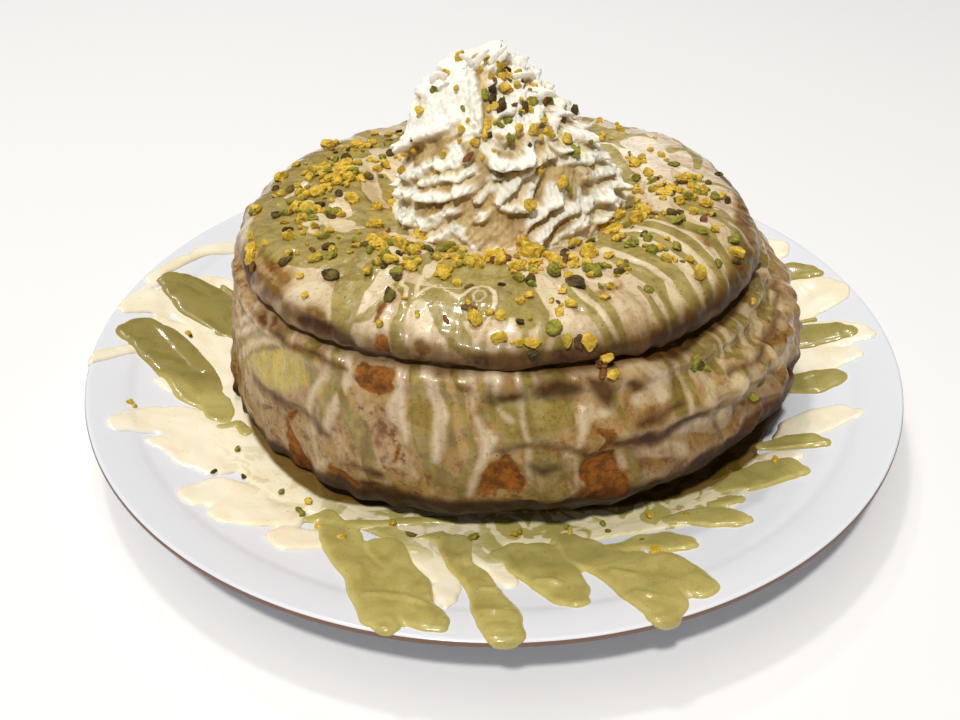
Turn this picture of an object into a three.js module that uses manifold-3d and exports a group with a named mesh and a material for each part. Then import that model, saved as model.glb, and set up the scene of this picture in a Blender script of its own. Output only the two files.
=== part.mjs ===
// A large ring doughnut under white glaze and pistachio sauce, whipped cream in its hole,
// chopped pistachios over it, on the plate that it is served on.
// Millimetres, +Z up. The origin is on the table, at the centre of the plate's foot.
import * as THREE from "three";
import { mergeVertices } from "three/addons/utils/BufferGeometryUtils.js";
import Module from "manifold-3d";

const wasm = await Module();
wasm.setup();

// Driving dimensions of the plate
const PLATE_RADIUS = 129.5;
const RIM_HEIGHT = 20.5;
const FLOOR_HEIGHT = 8;
const FLOOR_RADIUS = 86;
const VERGE_RADIUS = 116;
const VERGE_HEIGHT = 15.5;
const FOOT_RADIUS = 74;
const FOOT_RECESS = 3;
const WALL_THICKNESS = 4.4;
const RIM_THICKNESS = 2.9;
const RIM_ROUNDING = 1.7;
const PLATE_SEGMENTS = 52;

// Driving dimensions of the ring. Heights are above its own foot.
const TOUCHING_GAP = 0.3;
const RING_FOOT = FLOOR_HEIGHT + TOUCHING_GAP;
const RING_CENTRE = new THREE.Vector2(3.5, 1.5);
const RING_HEIGHT = 61.4;
const BELLY_RADIUS = 91;
const BELLY_TILT = 7;
const BELLY_LOBES = 1.3;
const BELLY_SAG = 6;
const BELLY_SHIFT = new THREE.Vector2(2.2, 0);
const CROWN_SHIFT = new THREE.Vector2(-2.2, -2);
const BELLY_FLAT = 5.5;
const FOOT_SPREAD = 3;
const CROWN_DIP = 2.2;
const CROWN_RADIUS = 79;
const CREST_RADIUS = 56;
const HOLE_RADIUS = 25;
const CREASE_HEIGHT = 47.9;
const CREASE_WAVE = 1.8;
const LOWER_CREASE_DEPTH = 3.6;
const RING_COLUMNS = 60;
const RING_ROWS = 28;

// Driving dimensions of the whipped cream
const CREAM_FOOT = FLOOR_HEIGHT + TOUCHING_GAP;
const CREAM_TIP = 114;
const TIP_RADIUS = 0.8;
const CREAM_SEAT = 64;
const CREAM_CLEARANCE = 0.45;
const RIDGE_PITCH = 8.2;
const RIDGE_DEPTH = 2.6;
const RIDGE_STARTS = 5;
const CREAM_COLUMNS = 42;
const CREAM_ROWS = 25;
const SOCKET_COLUMNS = 36;

// Driving dimensions of the sauces
const SAUCE_THICKNESS = 1.8;
const SAUCE_BITE = 1.2;
const POOL_INNER = 85;
const POOL_OUTER = 97;
const POOL_COLUMNS = 40;

// Driving dimensions of the chopped pistachios
const NUT_LENGTH = 5.4;
const NUT_LIFT = 0.13;
const NUT_SPACING = 4.6;
const NUTS_ON_RING = 61;
const NUTS_ON_CREAM = 14;
const RING_NUT_SEED = 71;
const CREAM_NUT_SEED = 29;

const TURN = 2 * Math.PI;
const radians = THREE.MathUtils.degToRad;

// Seeded draws between 0 and 1
function seededDraws(seed) {
  const multiplier = 48271;
  const modulus = 2147483647;
  let state = seed;
  return () => {
    state = (state * multiplier) % modulus;
    return state / modulus;
  };
}

// 1 at the centre angle, falling smoothly to 0 at half a width to each side
function swell(angle, centre, width) {
  const away = Math.abs(Math.atan2(Math.sin(angle - centre), Math.cos(angle - centre)));
  return away < width / 2 ? 0.5 + 0.5 * Math.cos((TURN * away) / width) : 0;
}

function catmullRom(a, b, c, d, t) {
  return b + 0.5 * t * (c - a + t * (2 * a - 5 * b + 4 * c - d + t * (3 * (b - c) + d - a)));
}

// The solid that a closed geometry bounds
function toSolid(geometry) {
  const bare = geometry.index ? geometry.clone() : geometry;
  bare.deleteAttribute("normal");
  bare.deleteAttribute("uv");
  const merged = mergeVertices(bare, 1e-4);
  const mesh = new wasm.Mesh({
    numProp: 3,
    vertProperties: new Float32Array(merged.attributes.position.array),
    triVerts: new Uint32Array(merged.index.array),
  });
  return new wasm.Manifold(mesh);
}

function toGeometry(solid) {
  const mesh = solid.getMesh();
  const geometry = new THREE.BufferGeometry();
  geometry.setAttribute("position", new THREE.BufferAttribute(mesh.vertProperties, 3));
  geometry.setIndex(new THREE.BufferAttribute(mesh.triVerts, 1));
  geometry.computeVertexNormals();
  return geometry;
}

function namedMesh(name, geometry, colour, roughness) {
  const material = new THREE.MeshStandardMaterial({ color: colour, roughness, metalness: 0 });
  const mesh = new THREE.Mesh(geometry, material);
  mesh.name = name;
  return mesh;
}

// A closed skin through rows of points: every row has as many points as the first.
// Rows join end to end where closeRows is set, and end in a fan of triangles otherwise.
function skin(rows, closeRows) {
  const columns = rows[0].length;
  const positions = rows.flat().flatMap((point) => [point.x, point.y, point.z]);
  const index = [];
  const steps = closeRows ? rows.length : rows.length - 1;
  for (let i = 0; i < steps; i++) {
    const next = (i + 1) % rows.length;
    for (let j = 0; j < columns; j++) {
      const right = (j + 1) % columns;
      const corners = [i * columns + j, i * columns + right, next * columns + right, next * columns + j];
      index.push(corners[0], corners[1], corners[2], corners[0], corners[2], corners[3]);
    }
  }
  if (!closeRows) {
    for (const [row, turned] of [[0, true], [rows.length - 1, false]]) {
      const middle = new THREE.Vector3();
      rows[row].forEach((point) => middle.addScaledVector(point, 1 / columns));
      const hub = positions.length / 3;
      positions.push(middle.x, middle.y, middle.z);
      for (let j = 0; j < columns; j++) {
        const edge = [row * columns + j, row * columns + ((j + 1) % columns)];
        index.push(hub, turned ? edge[1] : edge[0], turned ? edge[0] : edge[1]);
      }
    }
  }
  const geometry = new THREE.BufferGeometry();
  geometry.setAttribute("position", new THREE.Float32BufferAttribute(positions, 3));
  geometry.setIndex(index);
  return geometry;
}

// Height of the plate's upper side: a level floor, a rise that grows steeper, and the verge
function plateTop(radius) {
  const riseCurve = 1.4;
  const vergeCurve = 0.8;
  if (radius <= FLOOR_RADIUS) {
    return FLOOR_HEIGHT;
  }
  if (radius <= VERGE_RADIUS) {
    const share = (radius - FLOOR_RADIUS) / (VERGE_RADIUS - FLOOR_RADIUS);
    return FLOOR_HEIGHT + (VERGE_HEIGHT - FLOOR_HEIGHT) * share ** riseCurve;
  }
  const share = Math.min(1, (radius - VERGE_RADIUS) / (PLATE_RADIUS - VERGE_RADIUS));
  return VERGE_HEIGHT + (RIM_HEIGHT - VERGE_HEIGHT) * share ** vergeCurve;
}

function plateSolid() {
  const footWidth = 4;
  const footSlope = 1.5;
  const underside = [
    [0, FOOT_RECESS],
    [FOOT_RADIUS - footWidth - footSlope, FOOT_RECESS],
    [FOOT_RADIUS - footWidth, 0],
    [FOOT_RADIUS, 0],
    [FOOT_RADIUS + 2 * footSlope, FOOT_RECESS],
  ];
  const walls = [
    [FLOOR_RADIUS + 12, WALL_THICKNESS],
    [VERGE_RADIUS, WALL_THICKNESS],
    [PLATE_RADIUS - RIM_ROUNDING, RIM_THICKNESS],
  ].map(([radius, thickness]) => [radius, plateTop(radius) - thickness]);
  const rim = [
    [PLATE_RADIUS, RIM_HEIGHT - RIM_ROUNDING],
    [PLATE_RADIUS, RIM_HEIGHT - RIM_ROUNDING / 3],
    [PLATE_RADIUS - RIM_ROUNDING / 2, RIM_HEIGHT],
  ];
  const upperRadii = [122, VERGE_RADIUS + 1, VERGE_RADIUS - 1, 106, 96, FLOOR_RADIUS, FOOT_RADIUS, 0];
  const upper = upperRadii.map((radius) => [radius, plateTop(radius)]);
  const outline = [...underside, ...walls, ...rim, ...upper].map(([r, z]) => new THREE.Vector2(r, z));
  const lathe = new THREE.LatheGeometry(outline, PLATE_SEGMENTS);
  lathe.rotateX(Math.PI / 2);
  return toSolid(lathe);
}

// A tongue of sauce: each stop gives a distance from the plate's centre, an angle in degrees
// and half a width, from the pool out to the tip. The sauce is a low dome across each stop.
const TONGUES = [
  [[92, 168, 8], [107, 167, 7.5], [122, 165.5, 4]],
  [[94, -155, 4.5], [103, -172, 5.5], [115, 179, 5.5], [123.5, -179.6, 3.5]],
  [[110, 22, 5], [118, 19, 4.5], [125, 15.7, 2.5]],
  [[100, 11.5, 9], [114, 12.2, 10], [125.5, 9.8, 6]],
  [[103, 1, 7], [115, -0.6, 8.5], [126.5, -2, 5]],
  [[98, -9, 6.5], [106, -10.5, 6.5], [113, -12, 4]],
  [[96, -26, 7], [108, -23, 7.5], [118, -21, 4]],
  [[95, -32, 4], [104, -30, 4.5], [111, -28.4, 2.5]],
  [[95, -45, 5], [102, -40, 5.5], [108.6, -36, 3]],
  [[95, -57, 6], [103, -53, 5.5], [107.5, -50, 3]],
  [[96, -67, 7], [102, -62.5, 6], [106, -60, 3]],
  [[93, -74.5, 8], [102, -69, 8], [114, -67.5, 7], [123, -66, 4.5]],
  [[94, -76, 7], [112, -74, 7], [121, -73.8, 5], [126.5, -73.6, 4.2]],
  [[93, -88.5, 6], [105, -84, 6.5], [116, -81, 4]],
  [[86, -96, 5], [100, -95.4, 4], [114, -91.5, 5], [121, -90, 5.8], [127.5, -89.4, 4.6]],
  [[92, -102.7, 5], [105, -97.5, 4.5], [117, -96.4, 3.5]],
  [[96, -107.5, 8], [109, -102, 7], [121, -98.5, 6], [126.7, -97, 4]],
  [[96, -117, 7], [111, -108.5, 7], [120, -103.5, 6.5], [126, -101.6, 4.5]],
  [[95, -120, 6], [102, -122, 5.5], [107, -123, 3]],
  [[95, -129, 7], [104, -131, 6.5], [112, -132, 3.5]],
  [[96, -136, 7], [107, -138, 7], [114.7, -139.6, 3.5]],
  [[95, -146, 8], [106, -149, 7.5], [114, -151, 4]],
  [[93, -158, 7], [110, -158, 6.5], [121, -157.6, 3.5]],
  [[114, -176, 2.6], [122, -173.5, 2.8], [129, -171.4, 1.8]],
  [[110, 168.5, 5], [120, 172, 5.5], [127.5, 177, 3]],
  [[116, 148, 3.2], [122, 155, 3], [127.5, 164, 2]],
  [[95, 128, 7], [107, 131, 6.5], [118, 133, 3.5]],
  [[94, 107, 6], [106, 108, 5.5], [114, 110, 3]],
  [[95, 84, 8], [109, 83, 7.5], [121, 81, 4]],
  [[94, 60, 6], [106, 57, 6], [116, 56, 3]],
  [[95, 41, 7], [108, 38, 6.5], [119, 36, 3.5]],
];

// Where sauce sits: on the plate's upper side, and bending down once it is past the rim
function sauceSeat(radius) {
  const dropPerMillimetre = 1.2;
  const past = Math.max(0, radius - PLATE_RADIUS);
  return plateTop(Math.min(radius, PLATE_RADIUS)) - dropPerMillimetre * past;
}

function tongueSolid(stops) {
  const endLength = 2;
  const endShare = 0.4;
  const shoulder = 0.9;
  const shoulderHeight = 0.6 * SAUCE_THICKNESS;
  const places = stops.map(([radius, angle, halfWidth]) => {
    const turn = radians(angle);
    return { at: new THREE.Vector2(radius * Math.cos(turn), radius * Math.sin(turn)), halfWidth };
  });
  const sections = [];
  const count = places.length;
  for (let i = 0; i < count; i++) {
    const ahead = places[Math.min(i + 1, count - 1)].at;
    const behind = places[Math.max(i - 1, 0)].at;
    const along = ahead.clone().sub(behind).normalize();
    sections.push({ at: places[i].at, along, halfWidth: places[i].halfWidth });
  }
  const tip = sections[count - 1];
  const tipAt = tip.at.clone().addScaledVector(tip.along, endLength);
  sections.push({ at: tipAt, along: tip.along, halfWidth: tip.halfWidth * endShare });
  const rows = sections.map(({ at, along, halfWidth }) => {
    const side = new THREE.Vector2(-along.y, along.x);
    const point = (share, lift) => {
      const spot = at.clone().addScaledVector(side, share * halfWidth);
      return new THREE.Vector3(spot.x, spot.y, sauceSeat(spot.length()) + lift);
    };
    return [
      point(-1, -SAUCE_BITE),
      point(1, -SAUCE_BITE),
      point(shoulder, shoulderHeight),
      point(0, SAUCE_THICKNESS),
      point(-shoulder, shoulderHeight),
    ];
  });
  return toSolid(skin(rows, false));
}

// The pool of sauce round the foot of the ring, wider and narrower as the tongues leave it
function poolSolid() {
  const footRoom = 5;
  const edgeWidth = 5;
  const waves = 1.5;
  const rows = [];
  for (let i = 0; i < POOL_COLUMNS; i++) {
    const angle = (TURN * i) / POOL_COLUMNS;
    const inner = POOL_INNER + footRoom * swell(angle, radians(-160), radians(170));
    const reach = POOL_OUTER + waves * (Math.sin(5 * angle + 0.7) + Math.sin(8 * angle + 2.1));
    const point = (radius, lift) =>
      new THREE.Vector3(radius * Math.cos(angle), radius * Math.sin(angle), plateTop(radius) + lift);
    rows.push([
      point(inner, -SAUCE_BITE),
      point(inner, SAUCE_THICKNESS / 3),
      point(reach - edgeWidth, SAUCE_THICKNESS * 0.8),
      point(reach, SAUCE_THICKNESS / 4),
      point(reach, -SAUCE_BITE),
    ]);
  }
  return toSolid(skin(rows, true));
}

// The ring's section, from the inner foot out, over the crown and down the hole. Each station
// is a distance from the ring's axis and a height, then how far it follows the belly's tilt and
// lobes, the spread of its foot, the crown's shift, the wavy crease and the lower crease.
const PLAIN = { belly: 0, spread: 0, crown: 0, crease: 0, waist: 0 };
const SECTION = [
  [HOLE_RADIUS + 4, 4, {}],
  [HOLE_RADIUS + 12, 0, {}],
  [BELLY_RADIUS - 25, 0, {}],
  [BELLY_RADIUS - 11, 2.7, { belly: 0.2, spread: 0.6 }],
  [BELLY_RADIUS - 3.8, 9.5, { belly: 0.9, spread: 1 }],
  [BELLY_RADIUS - 0.4, 17.5, { belly: 1, spread: 0.4, waist: 0.05 }],
  [BELLY_RADIUS - 0.8, 26.3, { belly: 0.8, waist: 1 }],
  [BELLY_RADIUS - 2.8, 32.5, { belly: 0.5, waist: -0.4 }],
  [BELLY_RADIUS - 5.6, 37.8, { belly: 0.2, crown: 0.3, crease: 0.4, waist: -0.2 }],
  [CROWN_RADIUS + 3, CREASE_HEIGHT - 6.4, { crown: 0.6, crease: 0.8 }],
  [CROWN_RADIUS + 3.4, CREASE_HEIGHT - 3.4, { crown: 0.8, crease: 1 }],
  [CROWN_RADIUS + 0.6, CREASE_HEIGHT - 0.9, { crown: 1, crease: 1 }],
  [CROWN_RADIUS - 4.8, CREASE_HEIGHT, { crown: 1, crease: 1 }],
  [CROWN_RADIUS - 1, CREASE_HEIGHT + 1.6, { crown: 1, crease: 0.9 }],
  [CROWN_RADIUS, CREASE_HEIGHT + 5, { crown: 1, crease: 0.5 }],
  [CROWN_RADIUS - 3, RING_HEIGHT - 4, { crown: 1, crease: 0.1 }],
  [CROWN_RADIUS - 11, RING_HEIGHT - 0.8, { crown: 0.8 }],
  [CREST_RADIUS, RING_HEIGHT, { crown: 0.5 }],
  [CREST_RADIUS - 12, RING_HEIGHT - 0.8, { crown: 0.2 }],
  [HOLE_RADIUS + 9, RING_HEIGHT - 4, {}],
  [HOLE_RADIUS + 3.5, RING_HEIGHT - 10.5, {}],
  [HOLE_RADIUS + 0.3, RING_HEIGHT - 21, {}],
  [HOLE_RADIUS, 20, {}],
].map(([radius, height, follows]) => ({ radius, height, ...PLAIN, ...follows }));

// How the hand-shaped ring departs from a true one at an angle round its axis
function unevenness(angle) {
  const at = (centre, width) => swell(angle, radians(centre), radians(width));
  return {
    lobes:
      BELLY_LOBES * (Math.cos(2 * angle + 1.6) + Math.cos(5 * angle + 2.1) / 2) - BELLY_FLAT * at(28, 110),
    spread: FOOT_SPREAD * at(-155, 130),
    dip: CROWN_DIP * at(128, 110),
    tilt: BELLY_TILT * Math.cos(angle) ** 3 - BELLY_SAG * at(-145, 130),
    wave: CREASE_WAVE * Math.cos(3 * (angle + radians(91))),
    pinch: LOWER_CREASE_DEPTH * at(-50, 125),
  };
}

// A point of the ring's surface. Way counts stations along the section, with fractions between.
// Swelled moves the whole surface outwards.
function ringPoint(way, angle, swelled = 0) {
  const { lobes, spread, dip, tilt, wave, pinch } = unevenness(angle);
  const step = Math.floor(way);
  const near = [-1, 0, 1, 2].map((offset) => {
    const part = SECTION[(step + offset + SECTION.length) % SECTION.length];
    return [
      part.radius + part.belly * lobes + part.spread * spread - part.waist * pinch - part.crown * dip,
      part.height + part.belly * tilt + part.crease * wave - part.crown * dip,
      RING_CENTRE.x + part.belly * BELLY_SHIFT.x + part.crown * CROWN_SHIFT.x,
      RING_CENTRE.y + part.belly * BELLY_SHIFT.y + part.crown * CROWN_SHIFT.y,
    ];
  });
  const mix = (axis, t) => catmullRom(near[0][axis], near[1][axis], near[2][axis], near[3][axis], t);
  const share = way - step;
  const slopeStep = 0.02;
  const out = new THREE.Vector2(
    mix(1, share + slopeStep) - mix(1, share - slopeStep),
    mix(0, share - slopeStep) - mix(0, share + slopeStep),
  ).setLength(swelled);
  const radius = mix(0, share) + out.x;
  return new THREE.Vector3(
    mix(2, share) + radius * Math.cos(angle),
    mix(3, share) + radius * Math.sin(angle),
    RING_FOOT + Math.max(mix(1, share), 0) + out.y,
  );
}

function ringSkin(columns, swelled = 0) {
  const rows = [];
  for (let i = 0; i < RING_ROWS; i++) {
    const row = [];
    for (let j = 0; j < columns; j++) {
      row.push(ringPoint((SECTION.length * i) / RING_ROWS, (TURN * j) / columns, swelled));
    }
    rows.push(row);
  }
  return toSolid(skin(rows, true));
}

// The mound's levels from the plate up to the torn tip: height, radius and sideways shift
const CREAM_LEVELS = [
  { height: CREAM_FOOT, radius: HOLE_RADIUS + 8, x: RING_CENTRE.x, y: RING_CENTRE.y, ridges: 0 },
  { height: 50, radius: HOLE_RADIUS + 8, x: RING_CENTRE.x, y: RING_CENTRE.y, ridges: 0 },
  { height: CREAM_SEAT, radius: 36.5, x: RING_CENTRE.x, y: 0.8, ridges: 0.4 },
  { height: 71, radius: 33.5, x: 3.8, y: 0, ridges: 0.9 },
  { height: 78, radius: 30, x: 2.6, y: 0, ridges: 1 },
  { height: 86, radius: 27, x: 1.6, y: 0.5, ridges: 1 },
  { height: 94, radius: 23.5, x: -0.4, y: 1, ridges: 0.9 },
  { height: 101, radius: 18.5, x: -2.2, y: 1.5, ridges: 0.8 },
  { height: 107, radius: 12.5, x: -2.6, y: 2, ridges: 0.7 },
  { height: 111, radius: 6.2, x: -0.6, y: 2.4, ridges: 0.4 },
  { height: CREAM_TIP, radius: 1.6, x: 1.8, y: 2.8, ridges: 0 },
];

function creamLevel(height) {
  const last = CREAM_LEVELS.length - 1;
  const above = CREAM_LEVELS.findIndex((level) => level.height >= height);
  const upper = above < 0 ? last : Math.max(above, 1);
  const near = [-2, -1, 0, 1].map((offset) => CREAM_LEVELS[Math.min(Math.max(upper + offset, 0), last)]);
  const share = (height - near[1].height) / (near[2].height - near[1].height);
  const read = (key) => catmullRom(near[0][key], near[1][key], near[2][key], near[3][key], share);
  return { radius: read("radius"), x: read("x"), y: read("y"), ridges: read("ridges") };
}

// The nozzle's ridges climb round the mound, level on the left and steeper on the right
function creamPoint(height, angle) {
  const level = creamLevel(height);
  const unevenClimb = 0.85;
  const meanRidge = 0.55;
  const lumps = 0.045;
  const lumpHeight = 9;
  const climb = angle + unevenClimb * Math.sin(angle + radians(20));
  const phase = (TURN * height) / RIDGE_PITCH - RIDGE_STARTS * climb;
  const ridge = Math.abs(Math.sin(phase / 2)) - meanRidge;
  const lump = 1 + lumps * (Math.sin(2 * angle + 0.4) + Math.sin(3 * angle + height / lumpHeight));
  const radius = Math.max(level.radius * lump + RIDGE_DEPTH * level.ridges * ridge, TIP_RADIUS);
  return new THREE.Vector3(level.x + radius * Math.cos(angle), level.y + radius * Math.sin(angle), height);
}

function creamSolid() {
  const start = CREAM_SEAT - 7;
  const heights = [CREAM_FOOT, start / 2, start - 5];
  const ridged = CREAM_ROWS - heights.length;
  for (let i = 0; i < ridged; i++) {
    heights.push(start + (CREAM_TIP - start) * (i / (ridged - 1)));
  }
  const rows = heights.map((height) => {
    const row = [];
    for (let j = 0; j < CREAM_COLUMNS; j++) {
      row.push(creamPoint(height, (TURN * j) / CREAM_COLUMNS));
    }
    return row;
  });
  return toSolid(skin(rows, false)).subtract(ringSkin(SOCKET_COLUMNS, CREAM_CLEARANCE));
}

// One chopped pistachio: a rough pebble with a few flat sides, sunk a little in what it lies on
function nutSolid(place, outward, size, draw) {
  const pebble = new THREE.IcosahedronGeometry(0.5, 0);
  pebble.deleteAttribute("normal");
  pebble.deleteAttribute("uv");
  const merged = mergeVertices(pebble, 1e-4);
  const spots = merged.attributes.position;
  for (let i = 0; i < spots.count; i++) {
    const stretch = 1 + 0.3 * (draw() - 0.5);
    spots.setXYZ(i, spots.getX(i) * stretch, spots.getY(i) * stretch, spots.getZ(i) * stretch);
  }
  merged.scale(size, size * (0.75 + 0.25 * (draw() - 0.5)), size * (0.6 + 0.2 * (draw() - 0.5)));
  merged.rotateZ(TURN * draw());
  const upright = new THREE.Quaternion().setFromUnitVectors(new THREE.Vector3(0, 0, 1), outward);
  merged.applyQuaternion(upright);
  const seat = place.clone().addScaledVector(outward, size * NUT_LIFT);
  merged.translate(seat.x, seat.y, seat.z);
  return toSolid(merged);
}

// Outward direction of a surface, from two short steps along it
function facing(surface, u, v, stepU, stepV) {
  const alongU = surface(u + stepU, v).sub(surface(u - stepU, v));
  const alongV = surface(u, v + stepV).sub(surface(u, v - stepV));
  return alongV.cross(alongU).normalize();
}

// Scatters pieces over a surface by drawing places until enough of them are kept
function scatter(count, seed, propose) {
  const draw = seededDraws(seed);
  const taken = [];
  const triesEach = 60;
  const tries = triesEach * count;
  for (let i = 0; i < tries && taken.length < count; i++) {
    const found = propose(draw);
    if (found && taken.every((other) => other.place.distanceTo(found.place) > NUT_SPACING)) {
      taken.push(found);
    }
  }
  return taken.map(({ place, outward }) => {
    const size = NUT_LENGTH * (0.87 + 0.5 * (draw() - 0.5));
    return nutSolid(place, outward, size, draw);
  });
}

// Where the chopped nuts fell thickest on the crown: the middle of each patch and how far it
// reaches, as an angle in degrees and as stations of the section, and how thick it lies
const NUT_PATCHES = [
  { angle: -170, width: 110, way: 16.9, depth: 3.4, thickness: 1 },
  { angle: -84, width: 150, way: 18, depth: 2.2, thickness: 0.9 },
  { angle: 5, width: 100, way: 16.8, depth: 3.2, thickness: 0.55 },
  { angle: 140, width: 90, way: 16.6, depth: 3, thickness: 0.5 },
  { angle: 75, width: 80, way: 17.2, depth: 3, thickness: 0.4 },
];

function nutThickness(way, angle) {
  const everywhere = 0.08;
  const patches = NUT_PATCHES.map(
    (patch) =>
      patch.thickness *
      swell(angle, radians(patch.angle), radians(patch.width)) *
      Math.max(0, 1 - ((way - patch.way) / patch.depth) ** 2),
  );
  return everywhere + patches.reduce((sum, patch) => sum + patch, 0);
}

function nutsOnRing() {
  const [crownOuter, crownInner] = [13.6, 18.9];
  return scatter(NUTS_ON_RING, RING_NUT_SEED, (draw) => {
    const angle = TURN * draw();
    const way = crownOuter + (crownInner - crownOuter) * draw();
    if (draw() > nutThickness(way, angle)) {
      return null;
    }
    const place = ringPoint(way, angle);
    const cream = creamPoint(place.z, Math.atan2(place.y, place.x));
    if (Math.hypot(place.x, place.y) < Math.hypot(cream.x, cream.y) + NUT_LENGTH) {
      return null;
    }
    return { place, outward: facing(ringPoint, way, angle, 0.02, 0.002).negate() };
  });
}

// Nuts on the mound lie in one patch, high on its front
function nutsOnCream() {
  const [lowest, highest] = [CREAM_SEAT + 12, CREAM_TIP - 8];
  const [middle, width] = [radians(-70), radians(150)];
  return scatter(NUTS_ON_CREAM, CREAM_NUT_SEED, (draw) => {
    const height = lowest + (highest - lowest) * draw();
    const angle = middle + width * (draw() - 0.5);
    const outward = facing(creamPoint, height, angle, 0.3, 0.01);
    return { place: creamPoint(height, angle), outward };
  });
}

const food = new THREE.Group();

const sauces = [poolSolid(), ...TONGUES.map(tongueSolid)];
const plate = sauces.reduce((whole, sauce) => whole.add(sauce), plateSolid());
food.add(namedMesh("plate", toGeometry(plate), 0xe6e6ea, 0.15));

const ring = nutsOnRing().reduce((whole, nut) => whole.add(nut), ringSkin(RING_COLUMNS));
food.add(namedMesh("doughnut", toGeometry(ring), 0xb98d5a, 0.4));

const cream = nutsOnCream().reduce((whole, nut) => whole.add(nut), creamSolid());
food.add(namedMesh("whipped_cream", toGeometry(cream), 0xfff8ea, 0.6));

export default food;
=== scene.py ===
import math

import bpy
import numpy as np
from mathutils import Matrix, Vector


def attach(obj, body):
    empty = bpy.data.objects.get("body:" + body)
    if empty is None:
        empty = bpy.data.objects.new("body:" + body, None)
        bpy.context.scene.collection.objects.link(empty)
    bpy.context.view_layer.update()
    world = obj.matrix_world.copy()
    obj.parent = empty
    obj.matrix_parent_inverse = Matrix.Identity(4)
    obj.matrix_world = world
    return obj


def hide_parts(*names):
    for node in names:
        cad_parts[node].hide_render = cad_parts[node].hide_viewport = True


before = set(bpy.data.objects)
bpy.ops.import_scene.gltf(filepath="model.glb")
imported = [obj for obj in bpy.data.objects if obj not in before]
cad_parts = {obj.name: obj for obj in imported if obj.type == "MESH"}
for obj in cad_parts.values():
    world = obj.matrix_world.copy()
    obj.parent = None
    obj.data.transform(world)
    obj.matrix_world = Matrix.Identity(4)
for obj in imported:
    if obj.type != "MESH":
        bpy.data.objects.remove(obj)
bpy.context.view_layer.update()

# The view
# The dish as the diner sees it: close, a little above the crown, square to the front.
MM = 0.001
aim = Vector((-4.2, -20.7, 20)) * MM
view_distance = 301.2 * MM
view_height = math.radians(35.8)
view_roll = math.radians(-0.12)
eye = aim + view_distance * Vector((0, -math.cos(view_height), math.sin(view_height)))
camera_data = bpy.data.cameras.new("diner_view")
camera_data.sensor_width = 36
camera_data.lens = 35.625
camera_data.clip_start = 10 * MM
camera = bpy.data.objects.new("diner_view", camera_data)
camera.location = eye
camera.rotation_euler = (aim - eye).to_track_quat("-Z", "Y").to_euler()
camera.rotation_euler.rotate_axis("Z", view_roll)
bpy.context.scene.collection.objects.link(camera)
bpy.context.scene.camera = camera

# The plate
# A round coupe plate of cool white porcelain, thrown in one piece with a foot ring. Its glaze is
# glossy, and a thin brown band of painted shade runs round the rim's outer lower edge.
PLATE_RADIUS = 129.5
RIM_HEIGHT = 20.5
FLOOR_HEIGHT = 8
FLOOR_RADIUS = 86
VERGE_RADIUS = 116
VERGE_HEIGHT = 15.5
FOOT_RADIUS = 74
FOOT_RECESS = 3
RIM_ROUNDING = 0.85
BODY_THICKNESS = 4.3
INNERMOST = 0.5


class Tint:
    """A socket of a material's nodes. Arithmetic on it adds the Math nodes that work it out."""

    tree = None

    def __init__(self, socket):
        self.socket = socket

    @staticmethod
    def node(kind, settings, values, output=0):
        made = Tint.tree.nodes.new("ShaderNode" + kind)
        for name, setting in settings.items():
            setattr(made, name, setting)
        for key, value in values.items():
            if isinstance(value, Tint):
                Tint.tree.links.new(value.socket, made.inputs[key])
            else:
                made.inputs[key].default_value = value
        return Tint(made.outputs[output])

    def maths(self, operation, *values):
        return Tint.node("Math", {"operation": operation}, dict(enumerate(values)))

    def __add__(self, other):
        return self.maths("ADD", self, other)

    def __radd__(self, other):
        return self.maths("ADD", other, self)

    def __sub__(self, other):
        return self.maths("SUBTRACT", self, other)

    def __rsub__(self, other):
        return self.maths("SUBTRACT", other, self)

    def __mul__(self, other):
        return self.maths("MULTIPLY", self, other)

    def __rmul__(self, other):
        return self.maths("MULTIPLY", other, self)

    def over(self, low, high):
        """0 up to low, 1 from high on, and a soft step between."""
        values = {"Value": self, "From Min": low, "From Max": high}
        return Tint.node("MapRange", {"interpolation_type": "SMOOTHSTEP"}, values)

    def under(self, low, high):
        return 1 - self.over(low, high)


def paint(red, green, blue):
    """A colour as seen on a screen, from 0 to 255, as the shader's linear one."""
    shares = [value / 255 for value in (red, green, blue)]
    return (*(s / 12.92 if s < 0.04045 else ((s + 0.055) / 1.055) ** 2.4 for s in shares), 1)


def blend(first, second, share):
    """One colour over another, as much as the share says."""
    return Tint.node("Mix", {"data_type": "RGBA"}, {0: share, 6: first, 7: second}, 2)


def stained(colour, stain, share):
    """A colour darkened by a stain, as much as its share says."""
    settings = {"data_type": "RGBA", "blend_type": "MULTIPLY"}
    return Tint.node("Mix", settings, {0: share, 6: colour, 7: stain}, 2)


def grain(size, detail=2.0, roughness=0.5, at=None, distortion=0.0):
    """Noise whose lumps are about size millimetres across."""
    place = at or Tint.node("TexCoord", {}, {}, "Object")
    unit = 1.0 if at else MM
    values = {"Vector": place, "Scale": 1 / (size * unit), "Detail": detail, "Roughness": roughness}
    values["Distortion"] = distortion
    return Tint.node("TexNoise", {}, values)


def kept(name):
    """A value that the mesh holds at each of its points."""
    return Tint.node("Attribute", {"attribute_name": name}, {}, "Fac")


def relief(height, depth, strength=1.0):
    """The bump of a height from 0 to 1 that stands depth millimetres high."""
    return Tint.node("Bump", {}, {"Height": height, "Distance": depth * MM, "Strength": strength}, "Normal")


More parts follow.
